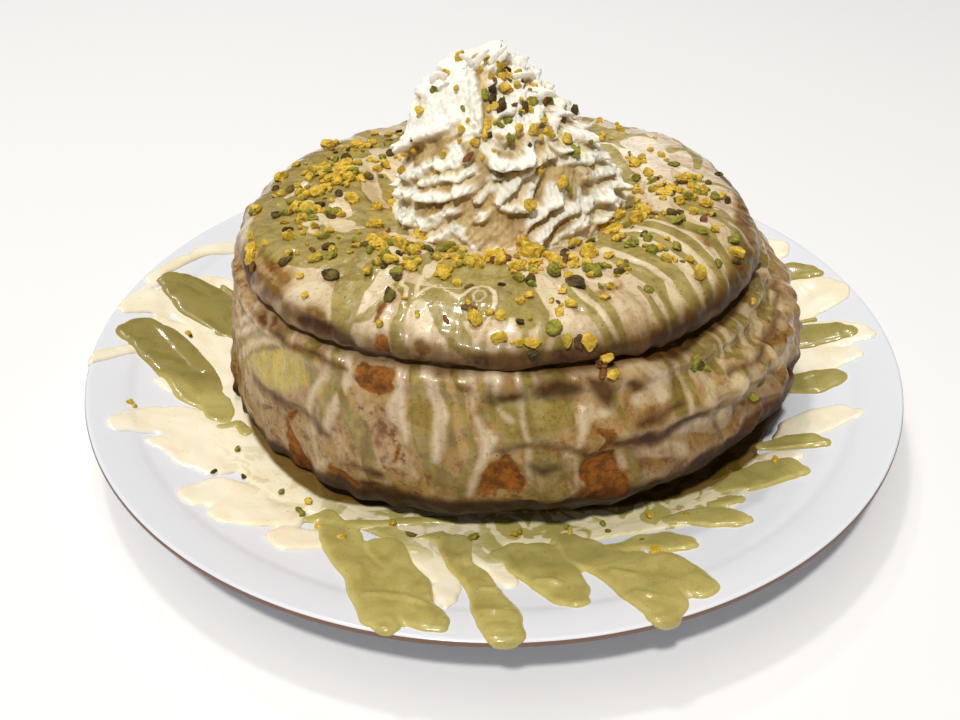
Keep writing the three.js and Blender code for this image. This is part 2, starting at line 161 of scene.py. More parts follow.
def material(name, surface):
    """A material whose Principled shader takes the values that surface() gives."""
    made = bpy.data.materials.new(name)
    made.use_nodes = True
    Tint.tree = made.node_tree
    Tint.tree.nodes.clear()
    shader = Tint.node("BsdfPrincipled", {}, surface())
    output = Tint.tree.nodes.new("ShaderNodeOutputMaterial")
    Tint.tree.links.new(shader.socket, output.inputs["Surface"])
    return made


def piece(name, points, faces, finish, slot, node, values=None, smooth=True):
    """A mesh from points in millimetres that rides on the root and stands for part of a node.

    Its values are a row for each name, which may leave out the last points: they get 0."""
    mesh = bpy.data.meshes.new(name)
    mesh.from_pydata((points * MM).tolist(), [], faces)
    mesh.polygons.foreach_set("use_smooth", [smooth] * len(mesh.polygons))
    for key, row in (values or {}).items():
        padded = np.zeros(len(points), np.float32)
        padded[: np.size(row)] = np.ravel(row)
        mesh.attributes.new(key, "FLOAT", "POINT").data.foreach_set("value", padded)
    mesh.materials.append(finish)
    made = bpy.data.objects.new(name, mesh)
    bpy.context.scene.collection.objects.link(made)
    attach(made, "root")
    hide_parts(node)
    return made


def weave(rows, columns, wrap_rows, wrap_columns):
    """The four-sided faces between rows of points that lie one after another."""
    row_count, column_count = rows - (not wrap_rows), columns - (not wrap_columns)
    i, j = np.meshgrid(np.arange(row_count), np.arange(column_count), indexing="ij")
    below, right = (i + 1) % rows, (j + 1) % columns
    corners = [i * columns + j, i * columns + right, below * columns + right, below * columns + j]
    return np.stack(corners, -1).reshape(-1, 4)


def swell(angle, centre, width):
    """1 at a centre in degrees, falling smoothly to 0 at half a width to each side."""
    away = np.abs((np.degrees(angle) - centre + 180) % 360 - 180)
    return np.where(away < width / 2, 0.5 + 0.5 * np.cos(2 * np.pi * away / width), 0)


def swells(angle, parts):
    """The sum of several swells, each given by its height, its centre and its width."""
    return sum(height * swell(angle, centre, width) for height, centre, width in parts)


def held(values):
    """The values kept between 0 and 1."""
    return np.clip(values, 0, 1)


def plate_top(radius):
    """The height of the plate's upper side, flat in the well and steepest towards the rim."""
    rise = held((radius - FLOOR_RADIUS) / (VERGE_RADIUS - FLOOR_RADIUS))
    verge = held((radius - VERGE_RADIUS) / (PLATE_RADIUS - VERGE_RADIUS))
    height = FLOOR_HEIGHT + (VERGE_HEIGHT - FLOOR_HEIGHT) * rise**1.4
    return height + (RIM_HEIGHT - VERGE_HEIGHT) * verge**0.8


def plate_outline():
    """The plate's section, from its middle over the rim and back under the foot."""
    inner = PLATE_RADIUS - RIM_ROUNDING
    upper = np.concatenate([[INNERMOST, 30, 60, 76], np.arange(80, inner, 1.2), [inner]])
    outline = [(r, float(plate_top(r))) for r in upper]
    edge_drop = float(plate_top(inner)) - RIM_ROUNDING
    for turn in np.radians([60, 30, 0]):
        outline.append((inner + RIM_ROUNDING * math.cos(turn), edge_drop + RIM_ROUNDING * math.sin(turn)))
    outline += [(PLATE_RADIUS, edge_drop - 0.7), (PLATE_RADIUS - 0.5, edge_drop - 1.4)]
    outline += [(r, float(plate_top(r)) - BODY_THICKNESS) for r in range(122, 97, -6)]
    outline += [(FLOOR_RADIUS, FOOT_RECESS + 0.2), (FOOT_RADIUS + 4, FOOT_RECESS), (FOOT_RADIUS + 0.6, 1)]
    outline += [(FOOT_RADIUS - 0.4, 0.2), (FOOT_RADIUS - 1, 0), (FOOT_RADIUS - 3, 0)]
    outline += [(FOOT_RADIUS - 4, 0.5), (FOOT_RADIUS - 5.5, FOOT_RECESS)]
    outline += [(40, FOOT_RECESS), (INNERMOST, FOOT_RECESS)]
    return np.array(outline)


def lathe(outline, columns):
    """The points of an outline turned round the upright axis."""
    angle = np.linspace(0, 2 * np.pi, columns, endpoint=False)
    radius, height = outline[:, 0][:, None], outline[:, 1][:, None]
    rows = [radius * np.cos(angle), radius * np.sin(angle), height + 0 * angle]
    return np.stack(rows, -1).reshape(-1, 3)


def porcelain():
    # The thin brown band at the rim's outer lower edge is painted shade of the rim turning under.
    edge = kept("edge") + 0.25 * (grain(9) - 0.5)
    bare = edge.over(0.45, 0.75)
    glaze = blend(paint(223, 226, 234), paint(230, 232, 238), grain(45))
    return {
        "Base Color": blend(glaze, paint(122, 92, 74), bare),
        "Roughness": 0.13 + 0.35 * bare,
        "IOR": 1.5,
        "Normal": relief(grain(14), 0.12),
    }


outline = plate_outline()
plate_columns = 256
plate_points = lathe(outline, plate_columns)
# Where the band of painted shade runs round the rim's outer lower edge.
rim_shade_band = (outline[:, 0] > PLATE_RADIUS - 0.6) & (outline[:, 1] < RIM_HEIGHT - 0.5)
plate_values = {"edge": np.repeat(rim_shade_band * 1.0, plate_columns)}
plate_faces = weave(len(outline), plate_columns, True, True)[:, ::-1].tolist()
porcelain_finish = material("porcelain_glaze", porcelain)
piece("porcelain_plate", plate_points, plate_faces, porcelain_finish, "porcelain", "plate", plate_values)

# The cream sauce on the plate
# Sweet ivory cream sauce poured round the foot of the ring and dragged out in tongues. It lies
# about a millimetre deep with rounded edges, and some tongues reach the rim.
# Each stop of a stroke is x, y and half a width, from the pool out to the tip.
CREAM_STROKES = [
    [(-98, 60.5, 2.6), (-106, 56.5, 3.2), (-111.5, 51, 2.4), (-117, 42.5, 2.4), (-120.5, 36, 2),
     (-123.5, 30, 1.6)],
    [(-94, 38, 3.4), (-103, 38.5, 3), (-112, 36, 2.2), (-119.5, 30.5, 1.6), (-123.5, 24, 1.4),
     (-126, 17, 1.1)],
    [(-101, 16, 8.6), (-111.5, 21.5, 7), (-119.5, 17.5, 6.6), (-123.5, 14, 4.6), (-126, 10, 2.2)],
    [(-94, -2, 10), (-105, 5, 6), (-114, 9, 3)],
    [(-115.5, -8, 2.2), (-121, -12, 2.3), (-125.5, -17, 2.6), (-128, -21.5, 1.5)],
    [(-97, -22, 4.8), (-102, -23, 4.7), (-106.5, -22.5, 2.3)],
    [(-86, -45, 11), (-95, -42, 9.2), (-101.5, -42.5, 7), (-106, -45.5, 6.3), (-110, -48.5, 4.3)],
    [(-82, -55, 10), (-86.5, -55, 8.4), (-92, -54, 5.2), (-97, -53, 3.4), (-100.5, -53.5, 1.9)],
    [(-70, -73.5, 6.5), (-77, -72.5, 6.9), (-81.5, -74.5, 5.6), (-85, -75, 2.2)],
    [(-56.5, -80, 5), (-66, -79, 6.8), (-71.5, -81, 5.7), (-75, -82, 2.6)],
    [(-44.5, -88.5, 3.8), (-50.5, -89.5, 5), (-54.5, -89.5, 5.4), (-57.5, -89.5, 3.2)],
    [(-26, -88.5, 4.5), (-21.5, -91, 5.5), (-16.5, -95.5, 5.5), (-14.5, -101.5, 3.7)],
    [(-12, -103.5, 3.2), (-12.5, -107.5, 4), (-12.5, -112, 2.8), (-13, -115.5, 0.9)],
    [(-3, -85, 4.4), (-3, -94, 3.7), (0.5, -100.5, 3.6), (3, -104.5, 2.6)],
    [(104, 56, 6.4), (108, 53.5, 6), (110.5, 51, 3)],
    [(107, 23, 13.6), (115, 23, 10.1), (120, 22, 6.7), (122.5, 20.5, 2.8)],
    [(105, 2.5, 8.3), (114, 0.5, 7.6), (120, -2.5, 5.6), (124, -5, 2.9)],
    [(101.5, -11, 8.7), (109, -11.5, 6.7), (115.5, -12.5, 4.3), (118, -14, 2.1)],
    [(86, -47, 2.6), (92, -44, 5.8), (98.5, -42.5, 6.5), (104.5, -41.5, 5.2), (108.5, -43, 2.7)],
    [(75, -58, 3), (81.5, -56.5, 2.9), (88, -57, 2.6)],
    [(78, 76, 6), (86, 82, 6), (90, 88, 3)],
    [(52, 88, 6), (56, 99, 5.5), (56, 107, 3)],
    [(22, 96, 6), (24, 108, 6), (22, 117, 3.4)],
    [(-4, 96, 6), (-6, 105, 5), (-7, 111, 3)],
    [(-34, 90, 6), (-40, 101, 6), (-40, 110, 3)],
    [(-64, 78, 6), (-74, 86, 5), (-82, 92, 2.6)],
]
RING_CENTRE = (3.5, 1.5)
# How far the painted shadow under the ring's belly reaches over the cream sauce: an angle in degrees and a
# radius.
PAINTED_SHADOW_EDGE = [
    (-180, 82), (-150, 89), (-125, 90), (-118, 87), (-110, 82), (-100, 79), (-90, 77), (-82, 78), (-68, 82),
    (-60, 84), (-54, 88), (-42, 92), (-28, 94.5), (-12, 95), (10, 84), (60, 78), (130, 78), (180, 82),
]
POOL_INNER = 74
POOL_OUTER = 93
POOL_WAVES = 1.1
# Where the pool reaches further than elsewhere: how far, round which angle and how wide in degrees.
POOL_BULGES = [(4.5, -160, 70), (5, 2, 112), (-3, -84, 54), (6, -50, 52)]
# Where pistachio sauce was stirred into the pool: how much, round which angle and how wide.
STIRRED = [(1, -112, 34), (0.9, -84, 50), (1.4, -56, 84), (0.5, 100, 160), (0.35, -135, 50)]
STIRRED_OUT_TO = 100
EDGE_WANDER = 0.3
EDGE_RIPPLE = 0.06
CREAM_EDGE = 2
GRID_STEP = 0.7
SHEET_INNER = 72
SHEET_OUTER = 136
CREAM_DEPTH = 0.8


def lumps(seed, wavelength, count=16):
    """A smooth random field in space, as a sum of seeded waves. It runs from about -1 to 1."""
    draw = np.random.default_rng(seed)
    towards = draw.normal(size=(count, 3))
    towards /= np.linalg.norm(towards, axis=1, keepdims=True)
    towards *= 2 * np.pi / (wavelength * draw.uniform(0.7, 1.5, (count, 1)))
    phase = draw.uniform(0, 2 * np.pi, count)

    def field(x, y, z=0.0):
        total = 0
        for (a, b, c), p in zip(towards, phase):
            total = total + np.sin(a * x + b * y + c * z + p)
        return total / math.sqrt(count)

    return field


def nearest_on_leg(x0, y0, x1, y1):
    """Where a straight leg comes nearest to the origin, as a share of it, and how near."""
    along_x, along_y = x1 - x0, y1 - y0
    share = -(x0 * along_x + y0 * along_y) / np.maximum(along_x**2 + along_y**2, 1e-6)
    share = held(share)
    return share, np.hypot(x0 + share * along_x, y0 + share * along_y)


def stroke_depth(x, y, stops):
    """How far inside a tapering stroke each point lies, negative outside it."""
    best = np.full(np.shape(x), -1e3)
    for (x0, y0, r0), (x1, y1, r1) in zip(stops[:-1], stops[1:]):
        share, away = nearest_on_leg(x0 - x, y0 - y, x1 - x, y1 - y)
        best = np.maximum(best, r0 + (r1 - r0) * share - away)
    return best


def join(first, second, softness):
    """The larger of two depths, with the corner between them filled in."""
    share = held(0.5 + 0.5 * (first - second) / softness)
    return second + share * (first - second) + softness * share * (1 - share)


def sauce_seat(distance):
    """Where sauce rests: the plate's upper side, and past the rim straight down its edge."""
    inner = PLATE_RADIUS - RIM_ROUNDING
    past = np.maximum(distance - inner, 0)
    turn = np.minimum(past / RIM_ROUNDING, np.pi / 2)
    drop = np.maximum(past - RIM_ROUNDING * np.pi / 2, 0)
    radius = np.minimum(distance, inner) + RIM_ROUNDING * np.sin(turn)
    height = plate_top(np.minimum(distance, inner)) - RIM_ROUNDING * (1 - np.cos(turn)) - drop
    return radius, height, np.sin(turn), np.cos(turn)


def sheet_grid():
    """A ring-shaped grid over the plate: distances and angles about a step apart."""
    distance = np.arange(SHEET_INNER, SHEET_OUTER, GRID_STEP)
    columns = int(2 * np.pi * 0.5 * (POOL_OUTER + PLATE_RADIUS) / GRID_STEP)
    angle = np.linspace(0, 2 * np.pi, columns, endpoint=False)
    return np.meshgrid(distance, angle, indexing="ij")


def poured(depth_at, thickness_at, below_at):
    """A closed sheet of sauce: where it is deep enough, its outline drawn to the exact edge."""
    distance, angle = sheet_grid()
    nudge, gentlest, sunk = 0.05, 0.3, 0.25
    faces = weave(*distance.shape, False, True)
    x, y = distance * np.cos(angle), distance * np.sin(angle)
    depth = depth_at(x, y)
    held = (depth.ravel()[faces] > 0).any(1)
    faces = faces[held]
    slope_x = (depth_at(x + nudge, y) - depth) / nudge
    slope_y = (depth_at(x, y + nudge) - depth) / nudge
    steep = np.maximum(slope_x**2 + slope_y**2, gentlest)
    outside = np.minimum(depth, 0)
    x = x - outside * slope_x / steep
    y = y - outside * slope_y / steep
    depth = np.maximum(depth, 0)
    radius, height, lean_out, lean_up = sauce_seat(np.hypot(x, y))
    turn = np.arctan2(y, x)
    thick = thickness_at(depth, x, y) + below_at(x, y)

    def skin(lift):
        out = radius + lean_out * lift
        across, behind = out * np.cos(turn), out * np.sin(turn)
        return np.stack([across, behind, height + lean_up * lift], -1).reshape(-1, 3)

    top, bottom = skin(thick), skin(-sunk + 0 * thick)
    used, numbers = np.unique(faces, return_inverse=True)
    faces = numbers.reshape(-1, 4)
    count = len(used)
    edges = np.concatenate([faces[:, [k, (k + 1) % 4]] for k in range(4)])
    keys = edges[:, 0] * count + edges[:, 1]
    border = edges[~np.isin(keys, edges[:, 1] * count + edges[:, 0])]
    walls = np.stack([border[:, 1], border[:, 0], border[:, 0] + count, border[:, 1] + count], -1)
    points = np.concatenate([top[used], bottom[used]])
    everything = np.concatenate([faces[:, ::-1], faces + count, walls[:, ::-1]])
    at = np.stack([x.ravel()[used], y.ravel()[used]], -1)
    return points, everything.tolist(), np.concatenate([at, at]), np.tile(depth.ravel()[used], 2)


edge_wander = lumps(11, 13)
edge_ripple = lumps(12, 4.5)


def wandered(x, y, far=0, near=0):
    """The same places pushed about a little, as the edge of poured sauce is never a clean curve."""
    pushed_x = x + EDGE_WANDER * edge_wander(x + far, y) + EDGE_RIPPLE * edge_ripple(x, y + near)
    pushed_y = y + EDGE_WANDER * edge_wander(y, far - x) + EDGE_RIPPLE * edge_ripple(y + near, -x)
    return pushed_x, pushed_y


def pool_depth(x, y):
    """How far inside the pool each point lies, negative outside it."""
    distance, angle = np.hypot(x, y), np.arctan2(y, x)
    waves = np.sin(5 * angle + 0.7) + np.sin(8 * angle + 2.1) + 0.8 * np.sin(13 * angle)
    reach = POOL_OUTER + POOL_WAVES * waves + swells(angle, POOL_BULGES)
    return np.minimum(reach - distance, distance - POOL_INNER)


def cream_depth(x, y):
    """How far inside the cream sauce each point lies, negative outside it."""
    place = wandered(x, y)
    depth = pool_depth(*place)
    for stops in CREAM_STROKES:
        depth = join(depth, stroke_depth(*place, stops), 1.2)
    return depth


def rounded(depth, thickness, edge_width):
    """A height that rises steeply from the edge and levels out at its thickness."""
    share = held(depth / edge_width)
    return thickness * np.sqrt(1 - (1 - share) ** 2)


pour_waves = lumps(21, 9)
drag_waves = lumps(22, 3.6)


def cream_thickness(depth, x, y):
    """How thick the cream sauce lies."""
    distance, angle = np.hypot(x, y), np.arctan2(y, x)
    dragged = drag_waves(distance * 0.25, angle * 60)
    uneven = 1 + 0.14 * pour_waves(x, y) + 0.06 * dragged
    return rounded(depth, CREAM_DEPTH, CREAM_EDGE) * np.clip(uneven, 0.5, 1.5)


def specks(apart, inside, outside):
    """Dots about so many millimetres apart: 1 within the inner share of that, 0 past the outer."""
    place = Tint.node("TexCoord", {}, {}, "Object")
    values = {"Vector": place, "Scale": 1 / (apart * MM)}
    return Tint.node("TexVoronoi", {}, values, "Distance").under(inside, outside)


def cream_sauce():
    swirl = grain(16, 4, 0.55, distortion=1.2)
    stretched = Tint.node("CombineXYZ", {}, {0: kept("round_x"), 1: kept("round_y"), 2: kept("outwards")})
    lines = grain(9, 3, 0.5, at=stretched, distortion=1.5)
    milky = blend(paint(250, 240, 217), paint(242, 227, 196), swirl.over(0.35, 0.7))
    clouds = grain(12, 2, 0.45, distortion=2.2)
    marble = kept("marble") * (0.25 * lines.over(0.48, 0.58) + 0.95 * clouds.over(0.47, 0.54))
    thinned = (kept("film") + 0.8 * (grain(5, 3, 0.5, at=stretched) - 0.5)).over(0.35, 1)
    milky = blend(milky, paint(228, 230, 234), 0.6 * thinned)
    milky = blend(milky, paint(247, 233, 192), 0.8 * kept("marble"))
    colour = blend(milky, paint(186, 174, 98), marble)
    colour = blend(colour, paint(120, 98, 50), 0.6 * specks(2.6, 0.05, 0.075))
    # Painted shadow: the sauce under the ring's overhanging belly is darkened olive-brown.
    colour = stained(colour, paint(136, 114, 68), (kept("syrup") + 0.5 * (swirl - 0.5)).over(0.25, 0.75))
    return {
        "Base Color": colour,
        "Roughness": 0.16 + 0.12 * grain(7),
        "IOR": 1.42,
        "Coat Weight": 0.25,
        "Coat Roughness": 0.08,
        "Subsurface Weight": 0.15,
        "Subsurface Scale": 2 * MM,
        "Normal": relief(grain(4, 2), 0.08),
    }


points, faces, at, depth = poured(cream_depth, cream_thickness, lambda x, y: 0 * x)
angle = np.arctan2(at[:, 1], at[:, 0])
distance = np.hypot(at[:, 0], at[:, 1])
near_foot = held((STIRRED_OUT_TO - distance) / 5)
# How far inside the painted shadow under the ring's belly each point lies.
inside_painted_shadow = np.interp(np.degrees(angle), *np.array(PAINTED_SHADOW_EDGE).T) - np.hypot(*(at - RING_CENTRE).T)
cream_values = {
    "syrup": held(0.5 + inside_painted_shadow / 3),
    "film": held(1 - depth / 2.8) * (0.3 + 0.7 * swell(angle, -152, 70)),
    "marble": held(near_foot * swells(angle, STIRRED)),
    "round_x": 80 * np.cos(angle),
    "round_y": 80 * np.sin(angle),
    "outwards": 4 * distance,
}
cream_finish = material("cream_sauce", cream_sauce)
piece("cream_sauce", points, faces, cream_finish, "cream_sauce", "plate", cream_values)

# The pistachio sauce on the plate
# Muted green pistachio sauce over the cream sauce, in broad tongues at the front and left and
# small ones at the right. Three of the front ones run over the rim in drips.
PISTACHIO_STROKES = [
    [(-90.5, 17, 10), (-97.5, 21.5, 10.1), (-103.5, 24.5, 10.8), (-109.5, 29, 8.6), (-115, 31.5, 5.1),
     (-118.5, 30, 2)],
    [(-92.5, 32, 1.9), (-99, 36, 1.2)],
    [(-85.5, -34, 4.8), (-88, -29, 5), (-93.5, -24.5, 7.4), (-100, -15, 9), (-106, -8.5, 9.4),
     (-112.5, -2.5, 9.1), (-117, 0.5, 7.5), (-120, -1, 5.4), (-123, -2.5, 2.1)],
    [(-84, -41, 1.5), (-79, -38.5, 2), (-76, -42.5, 2)],
    [(105, 41.5, 4.2), (110.5, 40, 4.5), (116, 36.5, 3.7), (119.5, 34, 1.5)],
    [(103, 2, 6), (108.5, 1.5, 6.3), (114.5, 0.5, 5.3), (118.5, -1.5, 3.5), (120, -2, 1.4)],
    [(105, 10, 1.1), (111.5, 10.5, 0.9)],
    [(97.5, -21.5, 5), (103, -22.5, 5.8), (107.5, -22.5, 4.7), (110, -22.5, 2.3)],
    [(80, -50.5, 2.1), (87.5, -50.5, 3.5), (93.5, -52, 3.4), (96.5, -53.5, 2.2)],
    [(64, -69, 2.2), (71, -66, 5.1), (77, -64, 5.7), (83, -63.5, 5), (86.5, -65, 2.6)],
    [(60, -75.5, 1.6), (64.5, -74.5, 2.3), (67.5, -74.5, 1.4)],
    [(47, -81, 1.9), (53, -80.5, 3.2), (58.5, -81, 4.6), (64, -83, 4), (67, -84, 2)],
    [(27.5, -91.5, 1.6), (34, -90.5, 2.3), (39.5, -89, 3.1), (45, -90, 4.6), (49, -91, 3.5),
     (51.5, -92.5, 1.5)],
    [(19.5, -88.5, 3.9), (23, -93, 6), (28.5, -97.5, 6.3), (34, -102.5, 8.2), (37, -110, 8),
     (38.5, -117, 6.2), (38, -121.4, 4.4)],
    [(36.5, -97.5, 4.2), (41.5, -101.5, 7.1), (45, -107, 7), (48, -111, 5.4), (49, -113, 2.7)],
    [(1, -94, 3.3), (5.5, -93.5, 5.1), (10.5, -97, 8.4), (14, -103, 7.6), (17, -109, 6.2), (19, -113, 3.6)],
    [(-20.5, -87, 0.8), (-15, -86.5, 2.4), (-11, -89.5, 4.7), (-9.5, -98, 3.5), (-5.5, -103.5, 3.7),
     (-3, -110, 4.6), (-1, -116.5, 5.5), (0.5, -122, 5.4), (1.5, -126, 4.8)],
    [(-32.5, -90, 2.6), (-29, -92, 5.3), (-25.5, -98.5, 4.3), (-22.5, -107.5, 6.2), (-21, -116.5, 6),
     (-16, -122, 4.4), (-14, -124, 2.3)],
    [(-52, -80.5, 0.9), (-46, -79, 3.2), (-41.5, -87.5, 5.5), (-38, -96.5, 4.7), (-33, -103, 5.7),
     (-30, -112.5, 5.6), (-27.5, -120.5, 4.9), (-25.5, -123.6, 3.4)],
    [(-39.5, -81.5, 1.8), (-30, -81, 1.4), (-20, -80, 1.5), (-11.5, -80, 1.7)],
    [(-32, 87, 5), (-38, 98, 5.5), (-41, 107, 2.6)],
    [(-58, 76, 4), (-66, 86, 5), (-70, 92, 2.4)],
    [(12, 94, 5), (13, 106, 5.6), (12, 114, 2.8)],
    [(46, 86, 5), (52, 97, 5.2), (54, 106, 2.4)],
    [(70, 70, 4.6), (80, 78, 4.6), (86, 82, 2.2)],
    [(92, 52, 3.6), (100, 58, 3.4), (104, 60, 1.6)],
]
PISTACHIO_DEPTH = 0.6
PISTACHIO_EDGE = 1.8
# Where the thick tongues heap up in a small crest that catches the light.
PISTACHIO_CRESTS = [
    [(-31.5, -113.2, 1.4), (-27, -112.5, 2.1), (-22, -113.7, 2.3), (-17, -115.8, 1.6)],
    [(-4, -118.6, 1.5), (-0.5, -119.2, 2.1), (2.5, -118.9, 1.5)],
    [(-4, -108.7, 1.2), (-1, -109.1, 1.6), (1.6, -108.9, 1.2)],
    [(9.5, -105.2, 1.4), (13.5, -106.1, 1.9), (16, -107.6, 1.4)],
    [(32.6, -112.4, 1.4), (35, -114.1, 2), (37.4, -115.2, 1.4)],
    [(28.8, -102.3, 1.2), (31.6, -103.6, 1.6), (34, -105, 1.2)],
]
CREST_SLOPE = 0.56
CREST_ROUNDING = 0.4


def pistachio_depth(x, y):
    """How far inside the pistachio sauce each point lies, negative outside it."""
    place = wandered(x, y, far=40, near=9)
    depth = stroke_depth(*place, PISTACHIO_STROKES[0])
    for stops in PISTACHIO_STROKES[1:]:
        depth = join(depth, stroke_depth(*place, stops), 0.7)
    return depth


def pistachio_thickness(depth, x, y):
    """How thick the pistachio sauce lies, with its crests."""
    distance, angle = np.hypot(x, y), np.arctan2(y, x)
    dragged = drag_waves(distance * 0.3 + 50, angle * 70)
    hanging = 1 + 1.2 * held((distance - 127) / 3)
    uneven = 1 + 0.12 * pour_waves(x + 90, y) + 0.04 * dragged
    outer_part = held((distance - 98) / 8) * held((131 - distance) / 6)
    domed = 0.9 * rounded(depth, 1, 6) * outer_part
    crest = np.max([stroke_depth(x, y, stops) for stops in PISTACHIO_CRESTS], axis=0)
    crest = CREST_SLOPE * (np.hypot(np.maximum(crest, 0), CREST_ROUNDING) - CREST_ROUNDING)
    lies = rounded(depth, PISTACHIO_DEPTH * hanging, PISTACHIO_EDGE)
    return lies * np.clip(uneven, 0.45, 1.6) + domed + crest


def pistachio_colour(bright, dull, size=11):
    """Ground pistachio in sauce: two greens in slow swirls with fine meal and dark skin in it."""
    swirl = grain(size, 3, 0.5, distortion=1.4)
    colour = blend(bright, dull, swirl.over(0.3, 0.72))
    meal = grain(0.5, 2, 0.6)
    colour = blend(colour, paint(120, 104, 46), 0.3 * meal.over(0.56, 0.7))
    return blend(colour, paint(58, 46, 22), 0.75 * specks(3.1, 0.045, 0.07))


def pistachio_sauce():
    sauce = pistachio_colour(paint(188, 176, 106), paint(170, 156, 86))
    sauce = blend(sauce, paint(208, 192, 112), 0.7 * kept("edge"))
    return {
        "Base Color": stained(sauce, paint(208, 204, 188), kept("deep")),
        "Roughness": 0.14 + 0.14 * grain(6),
        "IOR": 1.42,
        "Coat Weight": 0.3,
        "Coat Roughness": 0.06,
        "Subsurface Weight": 0.08,
        "Subsurface Scale": 1 * MM,
        "Normal": relief(grain(3.4, 2), 0.06),
    }


def cream_below(x, y):
    """How high the cream sauce lifts the pistachio sauce that was poured over it."""
    return 0.85 * rounded(np.maximum(cream_depth(x, y) + 2, 0), CREAM_DEPTH, 7)


points, faces, at, depth = poured(pistachio_depth, pistachio_thickness, cream_below)
pistachio_finish = material("pistachio_sauce", pistachio_sauce)
angle = np.arctan2(at[:, 1], at[:, 0])
deep = swell(angle, 178, 130) * np.clip((at[:, 1] + 26) / 10, 0.2, 1) * 1.3 + 0.7 * swell(angle, 0, 110)
pistachio_values = {"edge": held(1 - depth / 1.5), "deep": held(deep)}
piece("pistachio_sauce", points, faces, pistachio_finish, "pistachio_sauce", "plate", pistachio_values)

# The ring doughnut
# A hand-shaped ring of fried yeast dough, risen in two rolls with a crease between them, dipped
# in translucent white glaze. Pistachio sauce and cream were poured over its crown and ran down.
RING_FOOT = FLOOR_HEIGHT + 0.3
RING_HEIGHT = 61.4
BELLY = 91
CROWN = 79
CREST = 56
HOLE = 25
CREASE = 47.9
BELLY_TILT = 7
BELLY_LOBES = 1.3
BELLY_SAG = 6
BELLY_FLAT = 5.5
FOOT_SPREAD = 3
CROWN_DIP = 2.2
CREASE_WAVE = 1.8
LOWER_CREASE_DEPTH = 3.6
BELLY_SHIFT = (2.2, 0)
CROWN_SHIFT = (-2.2, -2)
FOLLOWS = ("belly", "spread", "crown", "crease", "waist")
SECTION = [
    (HOLE + 4, 4, {}),
    (HOLE + 12, 0, {}),
    (BELLY - 25, 0, {}),
    (BELLY - 11, 2.7, {"belly": 0.2, "spread": 0.6}),
    (BELLY - 3.8, 9.5, {"belly": 0.9, "spread": 1}),
    (BELLY - 0.4, 17.5, {"belly": 1, "spread": 0.4, "waist": 0.05}),
    (BELLY - 0.8, 26.3, {"belly": 0.8, "waist": 1}),
    (BELLY - 2.8, 32.5, {"belly": 0.5, "waist": -0.4}),
    (BELLY - 5.6, 37.8, {"belly": 0.2, "crown": 0.3, "crease": 0.4, "waist": -0.2}),
    (CROWN + 3, CREASE - 6.4, {"crown": 0.6, "crease": 0.8}),
    (CROWN + 3.4, CREASE - 3.4, {"crown": 0.8, "crease": 1}),
    (CROWN + 0.6, CREASE - 0.9, {"crown": 1, "crease": 1}),
    (CROWN - 4.8, CREASE, {"crown": 1, "crease": 1}),
    (CROWN - 1, CREASE + 1.6, {"crown": 1, "crease": 0.9}),
    (CROWN, CREASE + 5, {"crown": 1, "crease": 0.5}),
    (CROWN - 3, RING_HEIGHT - 4, {"crown": 1, "crease": 0.1}),
    (CROWN - 11, RING_HEIGHT - 0.8, {"crown": 0.8}),
    (CREST, RING_HEIGHT, {"crown": 0.5}),
    (CREST - 12, RING_HEIGHT - 0.8, {"crown": 0.2}),
    (HOLE + 9, RING_HEIGHT - 4, {}),
    (HOLE + 3.5, RING_HEIGHT - 10.5, {}),
    (HOLE + 0.3, RING_HEIGHT - 21, {}),
    (HOLE, 20, {}),
]
STATIONS = np.array([[r, h, *(follows.get(key, 0) for key in FOLLOWS)] for r, h, follows in SECTION])


def ring_surface(way, angle):
    """Points of the ring. Way counts the section's stations, with fractions between."""
    way, angle = np.broadcast_arrays(np.asarray(way, float), np.asarray(angle, float))
    lobes = BELLY_LOBES * (np.cos(2 * angle + 1.6) + np.cos(5 * angle + 2.1) / 2)
    lobes = lobes - BELLY_FLAT * swell(angle, 28, 110)
    spread = FOOT_SPREAD * swell(angle, -155, 130)
    dip = CROWN_DIP * swell(angle, 128, 110)
    tilt = BELLY_TILT * np.cos(angle) ** 3 - BELLY_SAG * swell(angle, -145, 130)
    wave = CREASE_WAVE * np.cos(3 * (angle + np.radians(91)))
    pinch = LOWER_CREASE_DEPTH * swell(angle, -50, 125)
    step = np.floor(way).astype(int)
    share = (way - step)[..., None]

    def station(offset):
        radius, height, belly, foot, crown, crease, waist = np.moveaxis(
            STATIONS[(step + offset) % len(STATIONS)], -1, 0
        )
        return np.stack(
            [
                radius + belly * lobes + foot * spread - waist * pinch - crown * dip,
                height + belly * tilt + crease * wave - crown * dip,
                RING_CENTRE[0] + belly * BELLY_SHIFT[0] + crown * CROWN_SHIFT[0],
                RING_CENTRE[1] + belly * BELLY_SHIFT[1] + crown * CROWN_SHIFT[1],
            ],
            -1,
        )

    a, b, c, d = (station(offset) for offset in (-1, 0, 1, 2))
    mixed = b + 0.5 * share * (c - a + share * (2 * a - 5 * b + 4 * c - d + share * (3 * (b - c) + d - a)))
    x = mixed[..., 2] + mixed[..., 0] * np.cos(angle)
    y = mixed[..., 3] + mixed[..., 0] * np.sin(angle)
    return np.stack([x, y, RING_FOOT + np.maximum(mixed[..., 1], 0)], -1)


